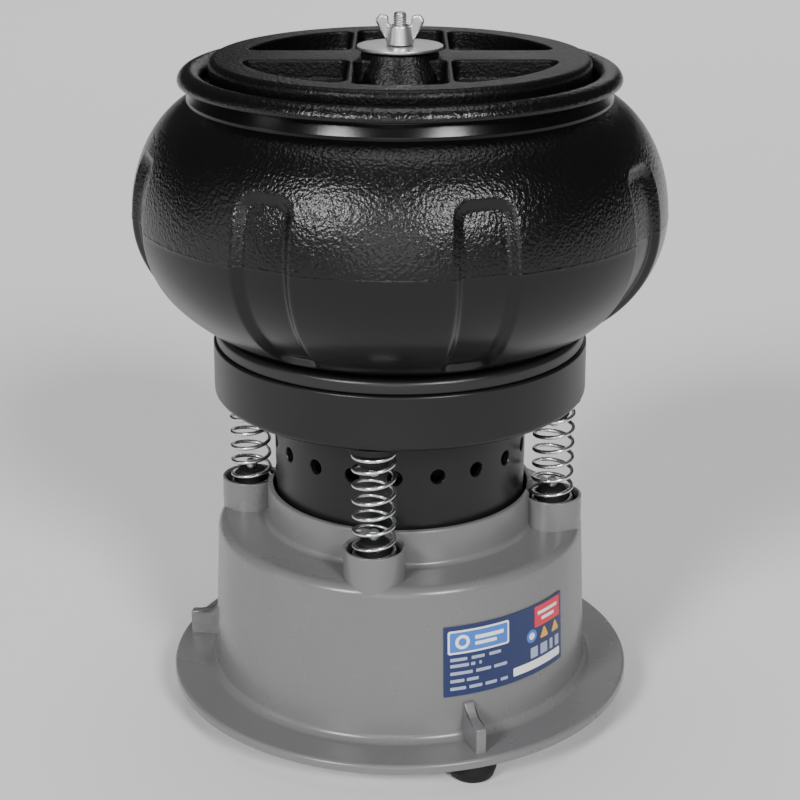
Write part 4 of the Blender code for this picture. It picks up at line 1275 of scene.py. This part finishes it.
@dataclass
class Bowl:
    """The bulging bowl: a rolled rim, eight flutes, a parting line and a hollow cone for the rod."""

    wall: float = 5.0 * MM
    equator: float = 239.0 * MM
    neck: float = 289.5 * MM
    upper_reach: float = 40.0 * MM
    upper_rise: float = 54.0 * MM
    lower_reach: float = 80.0 * MM
    lower_drop: float = 60.8 * MM
    belly_rows: int = 118
    flute_count: int = 8
    flute_azimuth: float = 17.0
    flute_half: float = 14.0 * MM
    flute_slope: float = 5.0 * MM
    flute_depth: float = 3.0 * MM
    flute_high: float = 270.5 * MM
    flute_low: float = 189.0 * MM
    flute_corner: float = 9.0 * MM
    flute_gauge: float = 118.0 * MM
    flash_height: float = 239.5 * MM
    flash_rise: float = 0.25 * MM
    flash_width: float = 0.4 * MM
    cone_top: float = 283.0 * MM
    polished_inner: float = 90.5 * MM
    polished_low: float = 289.5 * MM
    polished_high: float = 297.9 * MM

    def azimuths(self) -> Array:
        """Azimuths packed close where the flutes' walls are.

        Half a period is three stretches: the flute's floor, its wall and the land between flutes.

        Returns:
            Azimuths in radians, once round.
        """
        degree = np.concatenate([np.linspace(0.0, 3.4, 4)[:-1], np.linspace(3.4, 7.6, 13)[:-1],
                                 np.linspace(7.6, 180.0 / self.flute_count, 8)])
        period = np.concatenate([-degree[:0:-1], degree])[:-1]
        starts = self.flute_azimuth + np.arange(self.flute_count) * 360.0 / self.flute_count
        return np.radians((starts[:, None] + period).reshape(-1))

    def belly(self) -> Array:
        """The outer side from neck to foot: one ellipse above the equator and a flatter one below.

        Upper: r = R - a (1 - sin t), z = e + b cos t. Lower: r = R - c (1 - cos t), z = e - d sin t.

        Returns:
            Radius, height and distance along the section, one row for each point.
        """
        radius, foot = reach("bowl") - self.flash_rise, span("bowl")[0]
        high = np.linspace(math.acos((self.neck - self.equator) / self.upper_rise), math.pi / 2.0, 400)
        low = np.linspace(0.0, math.asin((self.equator - foot) / self.lower_drop), 400)[1:]
        upper = np.stack([radius - self.upper_reach * (1.0 - np.sin(high)),
                          self.equator + self.upper_rise * np.cos(high)], -1)
        lower = np.stack([radius - self.lower_reach * (1.0 - np.cos(low)),
                          self.equator - self.lower_drop * np.sin(low)], -1)
        fine = np.vstack([upper, lower])
        along = np.concatenate([[0.0], np.cumsum(np.linalg.norm(np.diff(fine, axis=0), axis=1))])
        flash = float(np.interp(-self.flash_height, -fine[:, 1], along))
        rows = np.linspace(0.0, along[-1], self.belly_rows)
        near = flash + self.flash_width * np.array([-2.0, -1.0, 0.0, 1.0, 2.0])
        rows = np.sort(np.concatenate([rows[np.abs(rows - flash) > 3.0 * self.flash_width], near]))
        places = [np.interp(rows, along, fine[:, 0]), np.interp(rows, along, fine[:, 1])]
        return np.stack([*places, rows], axis=-1)

    def relief(self, rows: Array, azimuths: Array) -> Array:
        """How far each point moves outwards: the flutes' hollows and the parting line's ridge.

        A flute's depth grows smoothly over its slope from the edge of a rectangle with round
        corners; the ridge is a bell of the given height and width.

        Args:
            rows: the section, as belly gives it.
            azimuths: azimuths in radians.

        Returns:
            Metres outwards, rows by azimuths.
        """
        along, height = rows[:, 2:3], rows[:, 1:2]
        high = float(np.interp(-self.flute_high, -rows[:, 1], rows[:, 2]))
        low = float(np.interp(-self.flute_low, -rows[:, 1], rows[:, 2]))
        step = TAU / self.flute_count
        within = (azimuths - math.radians(self.flute_azimuth) + step / 2.0) % step - step / 2.0
        across = within[None] * self.flute_gauge
        inside = -box_distance(across, along, self.flute_half, high, low, self.flute_corner)
        hollow = self.flute_depth * smoothstep(0.0, self.flute_slope, inside)
        ridge = self.flash_rise * np.exp(-(((height - self.flash_height) / self.flash_width) ** 2))
        return ridge - hollow

    def build(self) -> Object:
        """Rim, belly, foot, cone and inner side as one closed surface.

        Returns:
            The finished bowl.
        """
        azimuths = self.azimuths()
        rows = self.belly()
        profile = rows[:, :2]
        ahead = np.gradient(profile, axis=0)
        ahead /= np.linalg.norm(ahead, axis=1, keepdims=True)
        outward = np.stack([-ahead[:, 1], ahead[:, 0]], axis=-1)
        relief = self.relief(rows, azimuths)
        belly_r = profile[:, :1] + outward[:, :1] * relief
        belly_z = profile[:, 1:] + outward[:, 1:] * relief
        foot = span("bowl")[0]
        neck = float(belly_r[0].max())
        roll = arc((92.2 * MM, 297.5 * MM), 5.6 * MM, 165.0, 12.0, 20)
        lip = [*in_mm((97.68, 298.6, 0.0), (97.4, 297.2, 0.6), (91.4, 297.0, 0.9), (93.9, 290.8, 1.2)),
               (neck, 289.6 * MM, 0.0)]
        rim = np.vstack([roll, filleted(lip, 6, closed=False)[1:-1]])
        inner = (profile - outward * self.wall)[::-1][::3]
        inner = inner[(inner[:, 1] > 196.5 * MM) & (inner[:, 1] < 284.0 * MM)]
        underside, cone_foot = foot + 2.0 * MM, self.cone_top - self.wall
        below = filleted([(70.0 * MM, foot, 0.0), (68.0 * MM, foot, 1.0 * MM),
                          (66.5 * MM, underside, 1.0 * MM),
                          (31.0 * MM, underside, 3.0 * MM), (9.0 * MM, cone_foot, 2.0 * MM),
                          (3.6 * MM, cone_foot, 0.0), (3.6 * MM, self.cone_top, 0.3 * MM),
                          (14.0 * MM, self.cone_top, 2.5 * MM),
                          *in_mm((38.0, 193.0, 6.0), (76.0, 193.0, 6.0)),
                          (float(inner[0, 0]), float(inner[0, 1]), 0.0)], 6, closed=False)[1:-1]
        step = in_mm((80.5, 288.0, 2.0), (80.5, 293.5, 0.8), (86.4, 293.5, 0.6), (86.6, 298.0, 0.0))
        ledge = filleted([(float(inner[-1, 0]), float(inner[-1, 1]), 0.0), *step], 5, closed=False)[1:-1]
        count = len(azimuths)
        plain = [np.repeat(part[:, None], count, axis=1) for part in (rim, np.vstack([below, inner, ledge]))]
        radii = np.vstack([plain[0][..., 0], belly_r, plain[1][..., 0]])
        heights = np.vstack([plain[0][..., 1], belly_z, plain[1][..., 1]])
        bowl = solid("hammered_bowl", [polar(radii, heights, azimuths, closed=True)], sharp=50.0)
        self.finish(bowl.data)
        return present(bowl, "shaker", HAMMERED, "bowl")

    def finish(self, mesh: bpy.types.Mesh) -> None:
        """Gives the neck under the rim's lip the polished finish and the rest the hammered one.

        Args:
            mesh: the bowl's mesh.
        """
        mesh.materials.append(HAMMERED.material())
        mesh.materials.append(RIM_SHELL.material())
        centres = np.empty(len(mesh.polygons) * 3)
        mesh.polygons.foreach_get("center", centres)
        centres = centres.reshape(-1, 3)
        radius = np.hypot(centres[:, 0], centres[:, 1])
        height = centres[:, 2]
        level = (height > self.polished_low) & (height < self.polished_high)
        polished = (radius > self.polished_inner) & level
        mesh.polygons.foreach_set("material_index", polished.astype(np.int32))
        mesh.update()


# ---------------------------------------------------------------- lid


@dataclass
class Lid:
    """A disc with six finger pockets between its ribs and a flared boss round the rod."""

    columns: int = 288
    edge_bend: float = 3.2 * MM
    floor: float = 298.0 * MM
    pocket_radius: float = 70.0 * MM
    bar_half: float = 12.5 * MM
    rib_x: float = 21.0 * MM
    rib_width: float = 2.6 * MM
    top: float = 307.5 * MM
    corner: float = 5.0 * MM
    edge: float = 1.2 * MM
    draft: float = 0.5 * MM
    floor_bend: float = 2.2 * MM
    boss_radius: float = 16.5 * MM
    hole: float = 3.6 * MM

    def outline(self, left: float, right: float | None) -> Array:
        """A pocket behind the bar: straight sides at left, right and front, the circle behind.

        Each corner is an arc about the matching corner of the pocket shrunk by the arc's radius.
        Without a right side the circle closes the pocket.

        Args:
            left: the left side.
            right: the right side, or nothing where the circle closes it.

        Returns:
            The outline's points.
        """
        bend = self.corner if right is None else min(self.corner, (right - left) / 2.2)
        inner = self.pocket_radius - bend
        front = self.bar_half + bend
        west = left + bend

        def on_circle(x: float) -> tuple[float, float]:
            """The shrunk circle's point at x, behind."""
            return x, math.sqrt(inner * inner - x * x)

        def heading(point: tuple[float, float]) -> float:
            """The direction of a point from the axis, in degrees."""
            return math.degrees(math.atan2(point[1], point[0]))

        pieces = [arc((west, front), bend, 180.0, 270.0, 9)]
        if right is None:
            east = (math.sqrt(inner * inner - front * front), front)
            pieces.append(arc(east, bend, 270.0, 360.0 + heading(east), 12))
        else:
            pieces.append(arc((right - bend, front), bend, 270.0, 360.0, 9))
            east = on_circle(right - bend)
            pieces.append(arc(east, bend, 0.0, heading(east), 9))
        back = on_circle(west)
        pieces.append(arc((0.0, 0.0), self.pocket_radius, heading(east), heading(back), 25)[1:-1])
        pieces.append(arc(back, bend, heading(back), 180.0, 9))
        return np.vstack(pieces)

    def pocket_rows(self) -> list[tuple[float, float]]:
        """Insets and heights of a pocket: a round edge, a drafted wall and a round corner at its floor.

        Returns:
            Inset and height of each row, from the top down.
        """
        turn = np.radians(np.linspace(90.0, 0.0, 5))
        rows = [(-self.edge, self.top + 5.0 * MM)]
        rows += list(zip((-self.edge * (1.0 - np.cos(turn))).tolist(),
                         (self.top - self.edge * (1.0 - np.sin(turn))).tolist()))
        bend = np.radians(np.linspace(0.0, 90.0, 6))
        rows += list(zip((self.draft + self.floor_bend * (1.0 - np.cos(bend))).tolist(),
                         (self.floor + self.floor_bend * (1.0 - np.sin(bend))).tolist()))
        return rows

    def build(self) -> Object:
        """Turns the disc, cuts the pockets, adds the boss and drills it.

        Returns:
            The finished lid.
        """
        radius, (low, high) = reach("lid"), span("lid")
        profile = filleted([(0.0, self.top, 0.0), (radius, self.top, self.edge_bend),
                            (radius - 0.6 * MM, low, 1.0 * MM), (0.0, low, 0.0)], 8, closed=False)
        lid = solid("ribbed_lid", [turned(profile, self.columns, closed=False)])
        rows = self.pocket_rows()
        near, far = self.rib_x - self.rib_width / 2.0, self.rib_x + self.rib_width / 2.0
        side, middle = lofted(self.outline(far, None), rows), lofted(self.outline(-near, near), rows)
        mirror = Matrix.Diagonal((-1.0, 1.0, 1.0, 1.0))
        other = Patch(side.moved(mirror).points, side.faces[:, ::-1])
        half_turn = Matrix.Rotation(math.pi, 4, "Z")
        pockets = [side, middle, other]
        pockets += [patch.moved(half_turn) for patch in (side, middle, other)]
        carve(lid, pockets)
        root = self.floor - 0.3 * MM
        boss = filleted([(0.0, high, 0.0), (self.boss_radius, high, 1.0 * MM),
                         (self.boss_radius + 1.2 * MM, self.top - 1.0 * MM, 4.0 * MM),
                         (self.boss_radius + 5.5 * MM, root, 0.0), (0.0, root, 0.0)], 6, closed=False)
        carve(lid, [turned(boss, 144, closed=False)], Cut.ADD)
        bore = np.array([(0.0, high + 0.01), (self.hole, high + 0.01),
                         (self.hole, low - 0.01), (0.0, low - 0.01)])
        carve(lid, [turned(bore, 40, closed=False)])
        even_normals(lid)
        return present(lid, "lid", LID_SHELL, "lid")


# ---------------------------------------------------------------- fasteners on the rod


@dataclass
class RodAndNuts:
    """The threaded rod, its nuts and washers, and the wing nut."""

    rod_radius: float = 3.0 * MM
    pitch: float = 1.0 * MM
    thread_depth: float = 0.55 * MM
    threaded: float = 45.0 * MM
    columns: int = 40
    wing_azimuth: float = 84.0
    across_flats: float = 10.0 * MM
    bore: float = 3.4 * MM

    def rod(self) -> None:
        """A bar whose upper end is threaded.

        The radius falls by the depth times a triangle wave of (height / pitch - azimuth / one turn),
        so the ridge climbs one pitch a turn, anticlockwise seen from above.
        """
        low, high = span("centre_rod")
        azimuths = turn_angles(self.columns)
        count = int(self.threaded / self.pitch * 8)
        fine = np.linspace(high - 0.4 * MM, high - self.threaded, count)[:, None]
        wave = np.abs(2.0 * ((fine / self.pitch - azimuths[None] / TAU) % 1.0) - 1.0)
        fade = smoothstep(high - self.threaded, high - self.threaded + 3.0 * MM, fine)
        threads = self.rod_radius - self.thread_depth * np.clip(wave * 1.25 - 0.12, 0.0, 1.0) * fade
        lead = np.clip((high - fine) / (1.2 * MM), 0.0, 1.0) * 0.7 * MM + self.rod_radius - 0.7 * MM
        threads = np.minimum(threads, lead)
        ends = [(0.0, high), (self.rod_radius - 0.9 * MM, high)]
        foot = [(self.rod_radius, low + 0.5 * MM), (self.rod_radius - 0.5 * MM, low), (0.0, low)]
        around = np.ones(self.columns)
        top_rows, foot_rows = (np.outer([radius for radius, _ in rows], around) for rows in (ends, foot))
        radii = np.vstack([top_rows, threads, foot_rows])
        heights = np.concatenate([[z for _, z in ends], fine[:, 0], [z for _, z in foot]])[:, None]
        present(solid("threaded_rod", [polar(radii, heights, azimuths)], 60.0), "shaker", ZINC, "centre_rod")

    def nut(self, name: str, node: str) -> None:
        """A hexagon nut: each row's radius is the smaller of the hexagon and a cone from the bore.

        Args:
            name: the new piece's name.
            node: the frame node that it stands for.
        """
        low, high = span(node)
        azimuths = turn_angles(96)
        flats = hexagon(azimuths, self.across_flats)
        rows: list[tuple[Array, float]] = []
        inner = np.full(96, self.bore)
        tip = self.across_flats / 2.0 - 0.1 * MM
        for drop in (0.0, 0.15, 0.3, 0.5, 0.8):
            rows.append((np.minimum(flats, tip + drop * MM * 1.9), high - drop * MM))
        rows += [(radii, low + high - z) for radii, z in rows[::-1]]
        radii = np.stack([inner, *(r for r, _ in rows), inner])
        heights = np.array([high, *(z for _, z in rows), low])[:, None]
        present(solid(name, [polar(radii, heights, azimuths, closed=True)], 25.0), "shaker", ZINC, node)

    def washer(self, name: str, node: str, body: str, columns: int) -> None:
        """A flat washer with punched, slightly rounded edges.

        Args:
            name: the new piece's name.
            node: the frame node that it stands for.
            body: the body that it rides on.
            columns: points round it.
        """
        low, high = span(node)
        bend = 0.35 * MM
        outer = reach(node)
        profile = filleted([(self.bore, high, 0.15 * MM), (outer, high, bend),
                            (outer, low, bend), (self.bore, low, 0.15 * MM)], 4)
        present(solid(name, [turned(profile, columns)]), body, ZINC, node)

    def wing_nut(self) -> None:
        """A cast hub with two swept-up wings, blended together by remeshing and smoothing."""
        low, _ = span("wing_nut")
        hub = filleted([(self.bore, low + 8.5 * MM, 0.3 * MM), (4.7 * MM, low + 8.5 * MM, 0.7 * MM),
                        (6.1 * MM, low, 0.5 * MM), (self.bore, low, 0.2 * MM)])
        wing = filleted(in_mm((3.9, 1.0, 0.0), (5.7, 1.1, 1.2), (8.9, 6.4, 4.0), (10.9, 10.4, 1.6),
                              (8.6, 13.3, 1.8), (5.0, 12.4, 1.6), (4.9, 9.2, 2.0), (3.9, 7.9, 0.0)))
        half = 1.25 * MM
        blade = lofted(wing, edge_rows(-half, half, 0.9 * MM))
        blades = [blade.moved(at(0.0, 0.0, low) @ standing(self.wing_azimuth + side))
                  for side in (0.0, 180.0)]
        nut = solid("cast_wing_nut", [turned(hub, 64), *blades])
        melt = nut.modifiers.new("melt", "REMESH")
        melt.mode = "VOXEL"
        melt.voxel_size = 0.28 * MM
        ease = nut.modifiers.new("ease", "SMOOTH")
        ease.factor, ease.iterations = 0.5, 5
        settle(nut, 60.0)
        present(nut, "wing_nut", ZINC, "wing_nut")

    def build(self) -> None:
        """Everything on the rod, from below."""
        self.rod()
        self.nut("nut_under_bowl", "rod_lower_nut")
        self.washer("bowl_clamp_washer", "clamp_washer", "shaker", 96)
        self.nut("bowl_clamp_nut", "clamp_nut")
        self.washer("lid_penny_washer", "penny_washer", "washer", 144)
        self.wing_nut()


def dress_motor() -> None:
    """Finishes for the motor's inner parts and the cover, which keep their frame shapes."""
    dress(LAMINATIONS, "stator_core", "rotor_core")
    dress(WINDING, "lower_winding", "upper_winding")
    dress(ALUMINIUM, "upper_end_bell", "lower_end_bell")
    dress(MACHINED, "upper_bearing", "lower_bearing", "motor_shaft", "eccentric_weight")
    dress(BLACK_ABS, "cooling_fan")
    dress(ZINC, "bottom_cover", "motor_bolt_1", "motor_bolt_2", "motor_bolt_3")


# ---------------------------------------------------------------- studio


@dataclass
class SoftBox:
    """An area light that faces a point on the machine's axis."""

    name: str
    azimuth: float
    distance: float
    height: float
    width: float
    tall: float
    power: float
    aim: float = 0.2

    def build(self) -> None:
        """Places the light and turns it to its aim."""
        light = bpy.data.lights.new(self.name, "AREA")
        light.shape = "RECTANGLE"
        light.size, light.size_y = self.width, self.tall
        light.energy = self.power
        lamp = bpy.data.objects.new(self.name, light)
        turn = math.radians(self.azimuth)
        lamp.location = (self.distance * math.sin(turn), -self.distance * math.cos(turn), self.height)
        away = Vector((0.0, 0.0, self.aim)) - lamp.location
        lamp.rotation_euler = away.to_track_quat("-Z", "Y").to_euler()
        bpy.context.scene.collection.objects.link(lamp)


@dataclass
class FarBox:
    """A wide light so far off that the floor is equally bright everywhere."""

    name: str
    azimuth: float
    elevation: float
    spread: float
    power: float

    def build(self) -> None:
        """Turns the light so that it shines from its azimuth and elevation, in degrees."""
        light = bpy.data.lights.new(self.name, "SUN")
        light.angle = math.radians(self.spread)
        light.energy = self.power
        lamp = bpy.data.objects.new(self.name, light)
        lamp.rotation_euler = (math.radians(90.0 - self.elevation), 0.0, math.radians(self.azimuth))
        bpy.context.scene.collection.objects.link(lamp)


@dataclass
class Studio:
    """A pale floor, soft lights and the camera."""

    camera_distance: float = 0.805
    camera_height: float = 0.4453
    camera_pitch: float = 20.38
    lens: float = 82.5
    sensor: float = 36.0
    floor_half: float = 12.0
    world: float = 0.05
    boxes: list[SoftBox | FarBox] = field(default_factory=lambda: [
        FarBox("right_key", 27.0, 31.0, 15.0, 2.3),
        FarBox("left_key", -35.0, 31.0, 15.0, 2.3),
        FarBox("front_fill", -4.0, 4.0, 30.0, 0.7),
        FarBox("overhead", 180.0, 80.0, 40.0, 1.0),
        SoftBox("left_side", -72.0, 1.3, 0.42, 0.30, 0.60, 1.0, 0.15),
        SoftBox("back_glow", 172.0, 2.6, 0.95, 1.2, 0.5, 2.4, 0.32),
    ])

    def build(self) -> None:
        """Floor, world, lights and camera."""
        half = self.floor_half
        mesh = bpy.data.meshes.new("studio_floor")
        corners = [(-half, -half, 0.0), (half, -half, 0.0), (half, half, 0.0), (-half, half, 0.0)]
        mesh.from_pydata(corners, [], [(0, 1, 2, 3)])
        paper = bpy.data.materials.new("studio_paper")
        paper.use_nodes = True
        shader = paper.node_tree.nodes["Principled BSDF"]
        shader.inputs["Base Color"].default_value = linear("#E8E8E8")
        shader.inputs["Roughness"].default_value = 0.9
        shader.inputs["Specular IOR Level"].default_value = 0.1
        mesh.materials.append(paper)
        floor = bpy.data.objects.new("studio_floor", mesh)
        bpy.context.scene.collection.objects.link(floor)
        world = bpy.data.worlds.new("studio_air")
        world.use_nodes = True
        air = world.node_tree.nodes["Background"]
        air.inputs["Color"].default_value = linear("#FFFFFF")
        air.inputs["Strength"].default_value = self.world
        bpy.context.scene.world = world
        for box in self.boxes:
            box.build()
        camera = bpy.data.cameras.new("camera")
        camera.lens, camera.sensor_width = self.lens, self.sensor
        stand = bpy.data.objects.new("camera", camera)
        stand.location = (0.0, -self.camera_distance, self.camera_height)
        stand.rotation_euler = (math.radians(90.0 - self.camera_pitch), 0.0, 0.0)
        bpy.context.scene.collection.objects.link(stand)
        bpy.context.scene.camera = stand


def main() -> None:
    """Builds the studio and the sub-assemblies from the floor up."""
    logging.basicConfig(level=logging.INFO, format="%(message)s")
    Studio().build()
    shell = BaseShell()
    shell.build()
    Feet().build()
    RatingLabel(shell).build()
    RearFittings(shell).build()
    SpringMounts().build()
    Platform().build()
    MotorHousing().build()
    dress_motor()
    Bowl().build()
    Lid().build()
    RodAndNuts().build()


if __name__ == "__main__":
    main()
